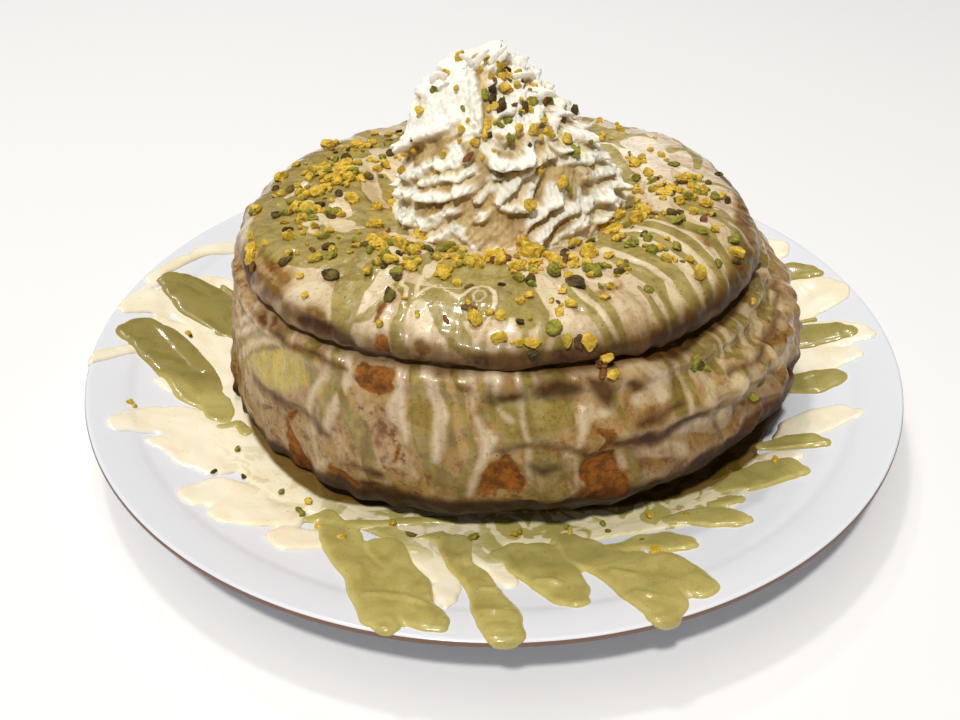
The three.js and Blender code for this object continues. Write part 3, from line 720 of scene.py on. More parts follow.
# The ring is finest where the sauces show, on the front and from the foot up to the cream.
SECTION_START = -3.2
LOWEST_SHOWN = 3.2
INNERMOST_SHOWN = 19.8
RING_STEP = 0.86
FRONT_FROM, FRONT_TO = -200, 20
front_angles = np.arange(FRONT_FROM, FRONT_TO, 0.45)
back_angles = np.arange(FRONT_TO, FRONT_FROM + 360, 1.15)
angles = np.radians(np.concatenate([front_angles, back_angles]))
finely = np.linspace(SECTION_START, INNERMOST_SHOWN, 2400)
profile = ring_surface(finely, np.radians(-90))
run = np.concatenate([[0], np.cumsum(np.linalg.norm(np.diff(profile, axis=0), axis=1))])
shown_from = np.interp(LOWEST_SHOWN, finely, run)
hidden_rows = np.linspace(SECTION_START, LOWEST_SHOWN, 14, endpoint=False)
shown_rows = np.interp(np.arange(shown_from, run[-1], RING_STEP), run, finely)
ways = np.concatenate([hidden_rows, shown_rows])
way, angle = np.meshgrid(ways, angles, indexing="ij")
run_at = np.interp(way, finely, run)
span_at = np.hypot(*(ring_surface(ways, np.radians(-90))[:, :2] - RING_CENTRE).T)[:, None] + 0 * way
turn_at = np.degrees(angle)


def settled(grid, rounds):
    """The same grid with its sharp folds softened, as dough closes them."""
    shown = (ways > LOWEST_SHOWN)[:, None, None]
    for _ in range(rounds):
        above, below = np.roll(grid, -1, axis=0), np.roll(grid, 1, axis=0)
        grid = np.where(shown, (above + 2 * grid + below) / 4, grid)
    return grid


def outward(grid, closed=True):
    """The outward directions of a round grid of points, whose rows may also close."""
    along = np.roll(grid, -1, axis=0) - np.roll(grid, 1, axis=0) if closed else np.gradient(grid, axis=0)
    beside = np.roll(grid, -1, axis=1) - np.roll(grid, 1, axis=1)
    out_of = np.cross(beside, along)
    return out_of / np.maximum(np.linalg.norm(out_of, axis=-1, keepdims=True), 1e-9)


dough_grid = settled(ring_surface(way, angle), 5)
dough_out = settled(outward(dough_grid), 4)
dough_out /= np.linalg.norm(dough_out, axis=-1, keepdims=True)
ring_x, ring_y, ring_z = np.moveaxis(dough_grid, -1, 0)
round_x, round_y = 80 * np.cos(angle), 80 * np.sin(angle)

# What was poured, in order: each stop is an angle in degrees, a station and half a width. The
# thin entries mark thin glaze and painted shade, and the dark entries painted shade in folds.
STREAKS = [
    ("green", (-212, 17, 8), (-196, 16.8, 10), (-178, 16.6, 10), (-162, 16.4, 10), (-146, 16.5, 10),
     (-132, 16.9, 9)),
    ("green", (-190, 18.5, 5), (-166, 18.6, 5), (-150, 18.5, 5), (-138, 18.3, 4)),
    ("green", (-206, 16.1, 5), (-190, 15.9, 6), (-175, 15.8, 6), (-160, 15.7, 5.6), (-150, 15.8, 5.2),
     (-141, 16, 4)),
    ("green", (-198, 17.7, 5), (-180, 17.7, 5.4), (-164, 17.8, 5.4), (-148, 17.7, 5), (-138, 17.5, 4)),
    ("white", (-216, 18.4, 6), (-203, 18.1, 4), (-198, 17.5, 3), (-192, 17.55, 2)),
    ("white", (-200, 17.5, 1.6), (-196, 17.4, 2.4), (-192, 17.5, 1.6)),
    ("white", (-174, 17.6, 1.6), (-168, 17.5, 3), (-161, 17.55, 2.4)),
    ("white", (-158, 17.4, 1.8), (-154, 17.5, 2.4), (-150, 17.3, 2)),
    ("white", (-172, 16.75, 2.4), (-165, 16.85, 2.8), (-158, 16.85, 2.6)),
    ("white", (-164, 17.1, 1.8), (-158, 17.25, 2.8), (-153, 17.3, 2.6), (-149, 17.6, 1.8)),
    ("white", (-215, 17.4, 2.4), (-212, 17.9, 3.6), (-205, 18.3, 4), (-197, 18.8, 3.4), (-190, 19, 2.4)),
    ("white", (-198, 17.9, 1.6), (-188, 18.15, 2.4), (-178, 18.45, 2.6), (-168, 18.7, 2)),
    ("white", (-157, 16.9, 1), (-153, 16.8, 1.4), (-150, 16.9, 0.8)),
    ("white", (-212, 17.9, 2), (-206, 17.6, 2.4), (-203, 17.2, 1)),
    ("white", (-186, 16.6, 1), (-181, 16.4, 1.6), (-177, 16.3, 0.8)),
    ("white", (-137, 17.9, 1.8), (-132, 17.6, 3), (-125, 17.5, 3.4), (-122, 17.1, 3.4),
     (-120.3, 16.5, 3.3), (-119.6, 15.8, 2.6), (-119.7, 15.6, 2)),
    ("white", (-136.4, 14.8, 1.2), (-133.6, 15.2, 2.6), (-130, 15.4, 3.6), (-126.4, 15.3, 3),
     (-124.6, 15, 1.6)),
    ("white", (-171, 15.2, 1), (-167, 15, 1.6), (-162, 14.9, 1.2)),
    ("white", (-137.6, 14.2, 1.4), (-139.4, 13.8, 1.4), (-141.4, 13.3, 1.2)),
    ("white", (-145, 14.3, 1.1), (-147, 13.9, 1.2), (-149.6, 13.3, 1)),
    ("white", (-123, 14, 0.7), (-122.4, 13.2, 0.8)),
    ("green", (-134.6, 14, 1), (-136, 13.5, 2)),
    ("white", (-117.8, 14.7, 1.6), (-117.2, 14.2, 2.2)),
    ("green", (-126, 17, 2), (-125.4, 16.3, 4.4), (-123.4, 15.6, 4.6), (-121.6, 14.9, 3.6),
     (-120.8, 14.1, 2.8)),
    ("white", (-135, 18.8, 3), (-130, 18.5, 3), (-127, 18.1, 2)),
    ("green", (-118, 17.9, 3), (-114, 17.5, 4.4), (-106, 17.2, 6), (-99, 17.3, 7), (-92, 17.1, 7),
     (-86.5, 16.8, 4.4)),
    ("green", (-115.6, 16.5, 1.8), (-110, 16.3, 4.2), (-103, 16.25, 5.6), (-96, 16.3, 6),
     (-90, 16.3, 5.6), (-85.6, 15.8, 3.4)),
    ("green", (-103, 16, 3), (-100.4, 15.6, 3.6), (-97.8, 15.1, 3.2), (-96.2, 14.6, 2.2), (-95.6, 14, 1.3)),
    ("green", (-111.6, 16.1, 1), (-110.6, 15.4, 1.5), (-109.7, 14.6, 1.9), (-108.4, 13.9, 1.7),
     (-107.8, 12.8, 1.3)),
    ("green", (-116, 15.9, 1), (-117.3, 15.4, 1.6), (-119, 15.1, 1.4)),
    ("white", (-108.3, 15.95, 1.8), (-106.2, 15.5, 2.6), (-105.2, 15, 1.8), (-104.6, 14.5, 1.2)),
    ("white", (-114.2, 15.3, 1.8), (-113.4, 14.9, 2.8), (-112.6, 14.6, 2)),
    ("white", (-112.8, 17.7, 1.2), (-110.8, 17.3, 1.5), (-110, 17, 0.8)),
    ("white", (-118.7, 18, 0.8), (-119.2, 17.6, 0.7), (-117.7, 17.2, 0.65), (-116.2, 16.85, 0.6),
     (-115.2, 16.5, 0.7), (-113.4, 16.42, 0.6), (-112.2, 16.15, 0.5), (-111.4, 15.9, 0.6)),
    ("white", (-113.4, 17.4, 0.5), (-112, 17.1, 0.55), (-111.2, 16.75, 0.6), (-110.6, 16.4, 0.6),
     (-109.8, 16.2, 0.7), (-109, 16.35, 0.6), (-108, 16.62, 0.45), (-107.1, 16.75, 0.3)),
    ("white", (-105.7, 16.75, 0.35), (-104.2, 16.58, 0.55), (-102.4, 16.5, 0.55), (-100.5, 16.36, 0.65),
     (-99.2, 16.45, 0.5), (-98.2, 16.72, 0.45), (-95.8, 16.78, 0.5), (-93.8, 16.72, 0.6),
     (-92.4, 16.5, 0.55), (-91.8, 16.2, 0.6), (-92.4, 15.9, 0.45), (-93.4, 15.6, 0.45),
     (-94.2, 15.1, 0.45), (-94.7, 14.6, 0.4)),
    ("white", (-97.4, 16.5, 0.4), (-96.6, 16.64, 0.4), (-95, 16.6, 0.4), (-94, 16.42, 0.4),
     (-95, 16.24, 0.4), (-96.6, 16.28, 0.4), (-97.4, 16.5, 0.4)),
    ("white", (-92, 15.2, 1), (-91, 15, 1.5), (-91.4, 14.7, 1.4)),
    ("white", (-88.4, 15.7, 1), (-88, 15.1, 1.5), (-88.4, 14.6, 1.2)),
    ("white", (-83, 17.4, 1.8), (-80.8, 17, 3), (-78.8, 16.5, 3), (-77.6, 15.9, 2.8), (-78, 15.3, 2.4)),
    ("white", (-90.5, 17.8, 1.5), (-86.5, 17.6, 2), (-82, 17.6, 2), (-77, 17.8, 1.6)),
    ("green", (-84.6, 17, 1.5), (-83.4, 16.4, 1.9), (-82, 15.9, 1.8), (-82.3, 15.3, 1.6),
     (-83.3, 14.7, 1.5), (-84, 14, 1.4)),
    ("green", (-86, 15.5, 0.8), (-86.4, 14.9, 1.1), (-86.2, 14.2, 1.2)),
    ("green", (-93.6, 14.9, 0.8), (-93.8, 14.2, 1.2)),
    ("green", (-79.5, 15, 1), (-80, 14.4, 1.6)),
    ("green", (-74.7, 16.8, 1.2), (-73.1, 16.2, 1.5), (-71.7, 15.6, 1.6), (-70.7, 15, 1.5),
     (-70, 14.2, 1.3)),
    ("green", (-70.1, 16.9, 0.8), (-69.2, 16.4, 1.1), (-68.3, 15.8, 1.2), (-67.8, 15.2, 1.3),
     (-67.6, 14.2, 1.2)),
    ("white", (-73.3, 16.85, 0.6), (-71.4, 16.4, 0.7), (-70.2, 16, 0.55), (-69.8, 15.5, 0.5),
     (-69.2, 15, 0.45), (-68.7, 14.5, 0.4)),
    ("white", (-69.5, 17.3, 2), (-66.5, 17, 2.6), (-63, 16.7, 1.6)),
    ("green", (-58.4, 16.1, 0.8), (-58.5, 15.4, 1.2), (-58, 14.7, 1.5), (-57.5, 13.9, 1.5)),
    ("green", (-55.6, 17.5, 1.8), (-54.9, 16.6, 2.3), (-53.6, 16, 2.5), (-54.5, 15.3, 1.9),
     (-55.6, 14.5, 1.5)),
    ("white", (-56.7, 15.4, 0.4), (-57, 14.8, 0.45), (-57.3, 14.2, 0.4)),
    ("green", (-50.8, 18, 3.2), (-49.2, 17.2, 3.3), (-48.3, 16.5, 2.9), (-48, 15.8, 2.4),
     (-49, 15.2, 2.7), (-50, 14.2, 2.2)),
    ("white", (-53.9, 17.8, 1.3), (-52.6, 17.3, 1.3), (-51.6, 16.7, 1), (-50.6, 16.2, 0.7),
     (-50, 15.9, 0.5)),
    ("white", (-51.3, 15.9, 1), (-52.7, 15.3, 1.7), (-54, 14.6, 1.1)),
    ("white", (-43.2, 17.2, 2.4), (-42.2, 16.7, 3.6), (-42.8, 16.2, 2.8), (-44, 15.95, 1.4)),
    ("white", (-45.6, 15.9, 0.8), (-46.4, 15.2, 1.1), (-46.8, 14.7, 0.9)),
    ("green", (-46, 18.2, 3), (-41, 18.3, 3), (-39.6, 17.6, 1.7), (-39, 17, 1.7), (-40, 16.4, 1.7),
     (-41.6, 15.9, 1.8), (-43.6, 15.2, 1.8), (-44.6, 14.4, 1.6)),
    ("white", (-38.6, 18.2, 1.8), (-37.4, 17.8, 1.8), (-36.3, 17.3, 0.9), (-36.2, 17, 0.8),
     (-37.2, 16.5, 0.8), (-38.8, 16, 0.7), (-40.8, 15.5, 0.8), (-43, 14.8, 0.6)),
    ("green", (-33.6, 17.7, 1.9), (-33.3, 17, 1.9), (-34.6, 16.4, 1.9), (-36.3, 15.9, 1.7),
     (-38.6, 15.2, 1.5), (-40.2, 14.5, 1.4)),
    ("white", (-29.5, 17.6, 1.3), (-29.9, 17.1, 0.9), (-31.2, 16.6, 0.7), (-33.6, 16.1, 0.65),
     (-36, 15.5, 0.6), (-38, 14.9, 0.5)),
    ("green", (-26.3, 18.2, 3.2), (-26, 17.1, 3.3), (-27.4, 16.4, 2.8), (-30.4, 15.8, 2.3),
     (-33.4, 15.2, 2), (-35.6, 14.4, 1.8)),
    ("white", (-20.2, 16.7, 2), (-23.4, 16.4, 1.6), (-27, 15.9, 0.7), (-29.6, 15.5, 0.4)),
    ("green", (-13, 16.9, 5), (-13.6, 16.2, 5), (-18, 15.6, 3.6), (-24, 15.1, 2.8), (-28, 14.6, 2)),
    ("white", (-5.2, 17.3, 1), (-8, 16.75, 1), (-11, 16.3, 0.5)),
    ("white", (-16, 15.9, 0.6), (-18.6, 15.4, 0.8), (-22, 14.8, 0.8)),
    ("green", (-27, 18.6, 3), (-17, 18.5, 4.4), (-7, 18.6, 3.4)),
    ("white", (-19, 17.6, 2.4), (-12, 17.7, 3), (-3, 17.7, 4), (8, 17.6, 5), (20, 17.3, 6.4),
     (34, 17, 6.6)),
    ("white", (-6, 18.9, 3), (3, 18.8, 4), (14, 19, 4)),
    ("green", (3, 18.4, 1.6), (14, 18.4, 2.6), (27, 18.3, 3), (40, 17.9, 3)),
    ("green", (15, 16.2, 1.4), (22, 15.8, 2.6), (29, 15.3, 3), (34, 14.8, 2.4)),
    ("white", (-2, 16.3, 1.6), (3, 16.3, 2.4), (5, 16, 1.6)),
    ("green", (6.5, 16.6, 1.1), (6, 16, 1.3), (4, 15.4, 1.4)),
    ("white", (9, 16.3, 1.8), (14, 16.7, 2), (18, 16.9, 1.2)),
    ("bare", (-112.4, 14.4, 2.2), (-112.4, 13.2, 2.4)),
    ("bare", (-115.7, 15.8, 0.6), (-115, 15.3, 0.8)),
    ("bare", (-115.6, 10.9, 3.2), (-111.8, 10.9, 3)),
    ("bare", (-115.4, 9.6, 3.4), (-111.6, 9.6, 2.8)),
    ("bare", (-135.6, 5.9, 1), (-134.6, 5.4, 2.6), (-134.4, 4.8, 4), (-134, 4.3, 3.6)),
    ("bare", (-132.8, 6.4, 0.7), (-134.6, 6.1, 0.9)),
    ("bare", (-123.6, 5.2, 1.3), (-121, 5.1, 1.8), (-119, 4.9, 1.4)),
    ("bare", (-110, 6.6, 0.7), (-110.6, 6, 0.8)),
    ("bare", (-96, 5.5, 2.8), (-93, 5.9, 4), (-91, 5.6, 3.4), (-91.4, 6.6, 1.4)),
    ("bare", (-78, 5.8, 3), (-74.4, 5.8, 3.4), (-74.2, 5, 4.4), (-77.6, 5, 4.4)),
    ("bare", (-76, 7.4, 1), (-74, 7.2, 1.6), (-76, 6.7, 1.2)),
    ("bare", (-66.8, 5.75, 0.4), (-64.6, 5.6, 0.5)),
    ("bright", (-128.4, 8.6, 3), (-132, 8.5, 5.4), (-137, 8.1, 7), (-143, 7.6, 5.4), (-149, 7.3, 2.4)),
    ("bright", (-131.6, 9.3, 2.4), (-128.4, 8.8, 2.8), (-126.8, 8, 2)),
    ("green", (-146, 9, 0.6), (-151, 8, 0.6), (-156, 7, 0.6)),
    ("green", (-128.6, 11.4, 2.6), (-128, 10, 2.8), (-127.6, 9, 2.6), (-127, 8, 1.4)),
    ("green", (-122.6, 11.5, 1.2), (-121.4, 10.3, 1.4), (-121.6, 9.3, 1.7), (-123.4, 8.2, 1.7),
     (-125.4, 7.2, 1.2), (-126.4, 6.4, 1)),
    ("white", (-125.2, 11.6, 0.8), (-123.2, 10.5, 0.7), (-123.6, 9.5, 0.7), (-125, 8.6, 0.9),
     (-127, 7.8, 0.8), (-128.5, 6.9, 0.8), (-127.6, 5.9, 0.7), (-127, 5.3, 1.2)),
    ("white", (-120.4, 11.6, 0.8), (-118.9, 10.5, 1), (-119.2, 9.3, 1.3), (-120.8, 8.2, 1.4),
     (-123, 7.2, 1.5), (-124, 6.6, 0.8)),
    ("white", (-123.6, 5.6, 0.6), (-125.6, 5.4, 1), (-127.6, 5, 0.9)),
    ("bright", (-130.4, 5, 0.8), (-129, 4.6, 1.4)),
    ("green", (-121.4, 8.4, 1.2), (-120, 7.6, 2.4), (-117, 6.8, 3.2), (-115.4, 6, 2.2), (-115.8, 5.2, 1.2)),
    ("thin", (-117.4, 8.2, 2.4), (-114, 8, 3.4), (-112.6, 7.4, 1.8)),
    ("green", (-101.2, 9.8, 1), (-100.4, 8.8, 1.5), (-100.6, 7.2, 1.2)),
    ("green", (-93.4, 10.6, 1.6), (-92, 9.6, 2.6), (-90.4, 8.8, 2.4), (-87, 9.4, 1.6)),
    ("green", (-91.6, 7.9, 1.2), (-90.6, 7.3, 1.8), (-88.4, 7.1, 1.6)),
    ("white", (-109, 11.2, 0.8), (-108.5, 9.8, 1.2), (-109.4, 8.6, 1.9), (-109.8, 7.9, 2.4),
     (-109, 7, 1.4)),
    ("white", (-109.6, 5.8, 0.6), (-107.6, 5.7, 1.2), (-106.6, 5.5, 0.6)),
    ("green", (-106.2, 11.5, 1.6), (-105.5, 10.3, 2.1), (-105.4, 9, 2.2), (-105.4, 8, 3.6),
     (-105.4, 7.2, 3.2), (-104.6, 6.3, 2)),
    ("green", (-104.4, 6, 1.8), (-102, 5.7, 3), (-99.6, 5.6, 2.2)),
    ("white", (-103.9, 11.5, 1.5), (-102.6, 10, 1.4), (-102.8, 9, 1.8), (-101.8, 8, 2.1),
     (-102.8, 7, 1.5), (-103.5, 6.3, 0.7)),
    ("green", (-101.8, 11.6, 0.35), (-100.6, 10.9, 0.4), (-100, 10.2, 0.4)),
    ("green", (-98.8, 11.6, 1.1), (-97.7, 10, 1.1), (-97.8, 9, 1.2), (-97.5, 8, 1.3), (-96.8, 7, 1.3),
     (-98.5, 6, 1.4), (-99.6, 5.2, 1.8)),
    ("white", (-96, 11.5, 0.7), (-95.4, 10.2, 0.6), (-95.4, 9, 0.6), (-94.7, 8, 0.8), (-94.7, 7, 1.2),
     (-96.4, 6, 1.3), (-98, 5.2, 1)),
    ("green", (-94.6, 8.6, 1), (-91, 8.5, 3), (-86, 8.2, 5), (-81.6, 8.3, 4), (-79.4, 8.8, 1.6)),
    ("green", (-91, 7.6, 1.2), (-87.6, 7.5, 1.8), (-84, 7.5, 1.4)),
    ("green", (-86, 11.4, 2), (-85.8, 10, 2.2), (-84, 9, 3)),
    ("green", (-81, 11.4, 2.6), (-80, 10, 4), (-80, 9.2, 3)),
    ("white", (-93.9, 7.8, 0.6), (-93.4, 7.5, 1.2), (-93.8, 7.1, 0.6)),
    ("white", (-92.2, 11.5, 1.4), (-91.8, 11, 2.2), (-91.8, 10.6, 1.6)),
    ("white", (-87.2, 11.6, 0.45), (-87.6, 10, 0.5), (-88, 8.8, 0.5), (-88.3, 8, 0.45), (-87.6, 7.3, 0.35)),
    ("white", (-84.5, 11.6, 0.4), (-84.5, 10, 0.4), (-84.7, 9, 0.4)),
    ("white", (-91.2, 8.8, 0.6), (-90, 8.2, 0.7)),
    ("green", (-88.4, 6.2, 1.8), (-85.6, 6.1, 5.2), (-83.4, 6, 2.6)),
    ("green", (-88.6, 5.3, 1.6), (-85.6, 5.3, 3.4), (-83, 5.2, 2)),
    ("white", (-82.6, 6.8, 0.3), (-80.9, 6.5, 0.6), (-80.3, 6, 0.7), (-80.5, 5.4, 0.5), (-82.4, 5.1, 0.4)),
    ("white", (-87.8, 6.9, 0.3), (-88.6, 6.3, 0.35), (-88.4, 5.6, 0.3)),
    ("white", (-75.6, 8.5, 1.2), (-77.6, 8.1, 1.5), (-79, 7.5, 1), (-80.2, 7, 0.6)),
    ("white", (-76, 8.1, 0.7), (-73.4, 8.1, 1.3), (-72.4, 8.3, 0.6)),
    ("white", (-64, 10.9, 2), (-61, 10, 3), (-61, 9, 3.4), (-63, 8.5, 3.4), (-67, 8.3, 1.6)),
    ("green", (-69.4, 11.3, 0.9), (-69.7, 9.8, 1), (-70.6, 8.8, 1.1), (-70.8, 7.8, 1)),
    ("green", (-59.5, 11.3, 0.9), (-58.8, 10, 1), (-58.3, 9, 1.5), (-60, 8, 2.2), (-61, 7.1, 2)),
    ("green", (-55.9, 11.3, 1), (-55.2, 9.5, 1.2), (-56, 8.6, 1.2), (-57.6, 7.5, 1.2)),
    ("white", (-57.7, 11.3, 0.6), (-56.9, 9.8, 0.65), (-56.8, 8.8, 0.7), (-58.3, 7.8, 0.65),
     (-59.4, 7, 0.6)),
    ("white", (-54, 11.3, 0.6), (-53.6, 9.6, 0.6), (-54.2, 8.6, 0.6)),
    ("green", (-51, 11.4, 2.6), (-50.3, 10, 2.4), (-48.4, 9, 2), (-49, 8.2, 1.4)),
    ("green", (-46, 11.5, 4), (-45.4, 9.8, 4), (-45, 8.8, 2.6)),
    ("green", (-37, 11.5, 5), (-36.4, 10, 5), (-36, 8.9, 3)),
    ("green", (-28, 11.5, 4.4), (-27.4, 10, 4), (-26, 8.9, 2.6)),
    ("white", (-53, 8.6, 0.9), (-52.4, 8, 1.6), (-55, 7.3, 1.5)),
    ("white", (-45, 11.4, 0.6), (-44.6, 10, 0.6), (-45, 9, 0.7), (-47.6, 8.2, 0.7), (-50, 7.4, 0.6)),
    ("white", (-41.4, 11.4, 1.2), (-42, 10, 1.3), (-43, 9, 0.9)),
    ("green", (-38.3, 11.4, 1), (-39, 10, 1), (-41, 9, 1.3), (-43.6, 8.3, 1.2)),
    ("white", (-36, 11.4, 1), (-36.6, 10, 1.1), (-37, 8.9, 1.3), (-41, 8, 1.3), (-44, 7.6, 0.9)),
    ("green", (-34, 11.4, 0.8), (-33.8, 10, 0.9), (-33, 9, 1.1), (-36.6, 8.2, 1)),
    ("white", (-31.4, 11.4, 1.8), (-31, 10, 2), (-28, 9, 1.4), (-32, 8.2, 1.2)),
    ("green", (-27.6, 11.4, 0.8), (-27.4, 10, 0.9), (-24, 9, 1), (-27, 8.3, 0.9)),
    ("white", (-25.2, 11.4, 0.8), (-24.8, 10, 1), (-20, 9, 1.2)),
    ("green", (-24, 11.3, 3.4), (-21, 10.4, 4), (-19, 9, 2.6), (-25, 8.3, 1.6)),
    ("green", (-12, 11.2, 3.6), (-10, 10, 4), (-9, 8.8, 3)),
    ("white", (-16.4, 11.2, 1.2), (-15, 10, 1.4), (-14, 8.8, 1)),
    ("white", (-46.8, 7.7, 1.2), (-47.4, 7, 1.4), (-48, 6.3, 1)),
    ("green", (-44.6, 7.7, 1.1), (-45, 7, 1.2)),
    ("white", (-43, 7.7, 0.8), (-43, 7, 0.9)),
    ("white", (-35, 7.7, 1.4), (-36, 7, 1.6), (-38, 6.2, 1)),
    ("green", (-40, 7.4, 1.4), (-41, 6.8, 1.6)),
    ("white", (-68, 5.9, 1), (-64, 5.75, 1.9), (-60.5, 5.5, 1.4)),
    ("white", (-54, 7.6, 0.8), (-49, 7.5, 1.6), (-46.6, 7.2, 1.8)),
    ("green", (-71.3, 6.1, 1.3), (-70.4, 5.4, 1.7), (-68.8, 4.6, 1.6)),
    ("white", (-73.2, 6.1, 0.7), (-72.2, 5.5, 1)),
    ("white", (-60, 6.2, 2), (-54, 5.9, 3.2), (-49, 5.8, 2.4)),
    ("white", (-45, 6, 2.6), (-41, 5.8, 3), (-37, 5.7, 2.2)),
    ("white", (-33, 6, 2.6), (-28, 5.9, 2.8), (-24, 6.2, 2)),
    ("white", (-27, 7.6, 1.8), (-23, 8, 2.4), (-19, 8.4, 2)),
    ("green", (-53, 5.8, 0.9), (-52, 5.2, 1)),
    ("green", (-44.6, 6, 0.9), (-44, 5.3, 1)),
    ("white", (-149.4, 9.3, 1), (-154, 8.2, 1.1), (-160, 7.4, 1), (-164, 6.8, 0.8)),
    ("white", (-145.6, 9.2, 0.9), (-149.6, 8.3, 1.1), (-154.6, 7.5, 1), (-159.6, 6.9, 0.8), (-161, 6, 0.6)),
    ("green", (-143.6, 9.2, 0.8), (-147.6, 8.2, 0.9), (-152.6, 7.5, 0.8), (-156, 6.8, 0.6)),
    ("white", (-139.8, 9.1, 0.7), (-142.6, 8.6, 0.7), (-146, 8, 0.7), (-150.4, 7.3, 0.7),
     (-155, 6.7, 0.6), (-156, 6, 0.6)),
    ("green", (-138, 9, 0.7), (-141.4, 8.4, 0.6), (-145, 7.8, 0.6), (-149.4, 7.1, 0.6)),
    ("white", (-146, 11.5, 0.7), (-142.6, 10.6, 0.8), (-141.4, 9.8, 0.8)),
    ("white", (-151.6, 11.5, 0.6), (-149, 10.6, 0.7), (-148.6, 10, 0.7)),
    ("green", (-137.5, 11.5, 1), (-136, 10.4, 1), (-135.6, 9.6, 1)),
    ("white", (-134.5, 11.5, 0.6), (-133, 10.6, 0.6), (-132.6, 9.8, 0.5)),
    ("thin", (-200, 17.8, 1.6), (-190, 18.1, 2.6), (-178, 18.4, 2.8), (-166, 18.7, 2.4)),
    ("thin", (-160, 14.5, 1), (-150, 14.6, 1.6), (-142, 14.5, 1.8), (-131, 14.4, 1.4), (-123, 14.2, 1)),
    ("thin", (-98.6, 16.42, 0.6), (-96, 16.7, 0.5), (-93.6, 16.45, 0.6), (-96, 16.2, 0.5),
     (-98.6, 16.42, 0.6)),
    ("thin", (-66, 16.4, 1.2), (-62.6, 16.4, 1.2)),
    ("thin", (-74, 15.9, 1), (-71.6, 15.8, 0.8)),
    ("thin", (-147, 10.8, 1.4), (-142, 10.9, 1.2)),
    ("thin", (-157, 8, 1.2), (-160, 7.4, 1.8)),
    ("thin", (-150, 5.2, 1.6), (-143, 5.6, 2.4), (-137, 6.2, 1.8), (-130, 6, 1.6)),
    ("thin", (-110.6, 7.2, 1.2), (-109, 6.5, 1.6), (-108, 5.9, 1.2)),
    ("thin", (-100.6, 7.8, 1), (-100.2, 7, 1.2)),
    ("thin", (-111, 5.2, 2.6), (-107, 4.8, 2.2)),
    ("thin", (-61.6, 10.7, 0.8), (-60.6, 10.4, 0.7)),
    ("thin", (-66.6, 9.2, 1.1), (-65.6, 9, 0.9)),
    ("thin", (-52, 7.5, 1), (-49.6, 7.6, 0.8)),
    ("thin", (-33, 7.5, 1.4), (-29, 7.4, 1.6), (-24, 7.6, 1.6)),
    ("thin", (-58, 5.8, 0.7), (-48, 5.6, 0.8), (-38, 5.5, 0.8)),
    ("thin", (-60, 14.3, 1.4), (-48, 14.5, 2), (-36, 14.7, 2.6), (-22, 15.2, 3.2), (-12, 15.3, 3.4),
     (-4, 15.1, 3), (6, 15, 3), (20, 14.9, 2.6)),
    ("thin", (-152, 15.2, 1.4), (-144, 15.3, 2), (-139, 15.1, 1.6)),
    ("thin", (-130, 14.9, 1), (-126.6, 14.8, 1.6)),
    ("thin", (-31, 16.2, 1), (-28, 16.6, 1.2)),
    ("dark", (-156, 14.4, 2), (-152, 14.2, 2.4)),
    ("dark", (-131, 14.1, 1), (-124, 14, 1.6), (-119, 13.6, 1)),
    ("dark", (-105.2, 14.6, 1.1), (-104.4, 14.4, 1.3)),
    ("dark", (-93.6, 13.9, 0.7), (-89, 13.9, 0.9), (-84, 14, 1), (-79, 13.9, 0.9), (-73, 13.9, 0.8)),
    ("dark", (-139, 10.7, 1), (-136, 10.4, 1.6)),
    ("dark", (-150, 10.4, 0.6), (-136, 10.3, 0.9), (-127, 10.4, 1.4), (-120, 10.2, 1)),
    ("dark", (-147, 6.7, 0.6), (-139, 6.5, 1.3), (-130, 6.7, 1), (-124, 6.4, 0.6)),
    ("dark", (-124, 5, 1), (-119, 4.9, 1.8), (-112, 4.9, 1.6)),
    ("dark", (-119, 5.7, 0.6), (-114, 5.4, 1)),
    ("dark", (-97.6, 10, 0.7), (-95.8, 10.1, 0.8)),
    ("dark", (-92.3, 10.6, 0.6), (-92.2, 9.9, 1), (-92, 9.2, 0.7)),
    ("dark", (-90.6, 9.8, 1.4), (-87.8, 9.8, 1.6)),
    ("dark", (-84.2, 9.7, 2.2), (-80, 9.9, 3), (-77.6, 10, 2.2)),
    ("dark", (-74, 10.8, 1.2), (-72.4, 9.9, 3), (-71.8, 9, 2.6), (-72, 8.4, 1.2)),
    ("dark", (-67, 9.4, 1), (-66, 8.9, 1.2)),
    ("dark", (-93, 7.05, 0.6), (-89, 6.98, 0.6), (-85, 7.1, 0.7), (-81.4, 7, 0.6), (-79, 6.4, 0.7),
     (-76, 6.25, 0.7)),
    ("dark", (-74, 6.7, 1.6), (-70, 6.6, 2.4), (-66, 6.5, 2.4), (-62, 6.6, 1.6), (-56, 6.7, 1)),
    ("dark", (-60, 7.7, 0.8), (-69, 7.4, 1)),
    ("dark", (-48, 7.9, 0.7), (-41, 7.8, 1), (-34, 7.75, 1), (-26, 8, 0.9), (-14, 8.3, 0.8)),
    ("dark", (-61, 11.3, 1), (-57, 11.1, 1.9), (-50, 11.3, 1.2), (-42, 11.4, 0.8), (-28, 11.3, 0.7)),
    ("dark", (-60, 4.9, 1), (-48, 5, 1), (-36, 5.1, 1.2), (-24, 5.2, 1.4)),
    ("dark", (-88, 6.3, 0.6), (-86.4, 6, 1.2), (-84, 6.2, 0.8)),
]


def streak_depth(stops, turned, across, here, run_of):
    """How far inside a streak each point of a round surface lies, measured over that surface."""
    middle = sum(stop[0] for stop in stops) / len(stops)
    turned = middle + (turned - middle + 180) % 360 - 180
    best = np.full(here.shape, -9.0)
    for (a0, w0, r0), (a1, w1, r1) in zip(stops[:-1], stops[1:]):
        start = ((a0 - turned) * across, run_of(w0) - here)
        share, away = nearest_on_leg(*start, (a1 - turned) * across, run_of(w1) - here)
        best = np.maximum(best, r0 + (r1 - r0) * share - away)
    return best


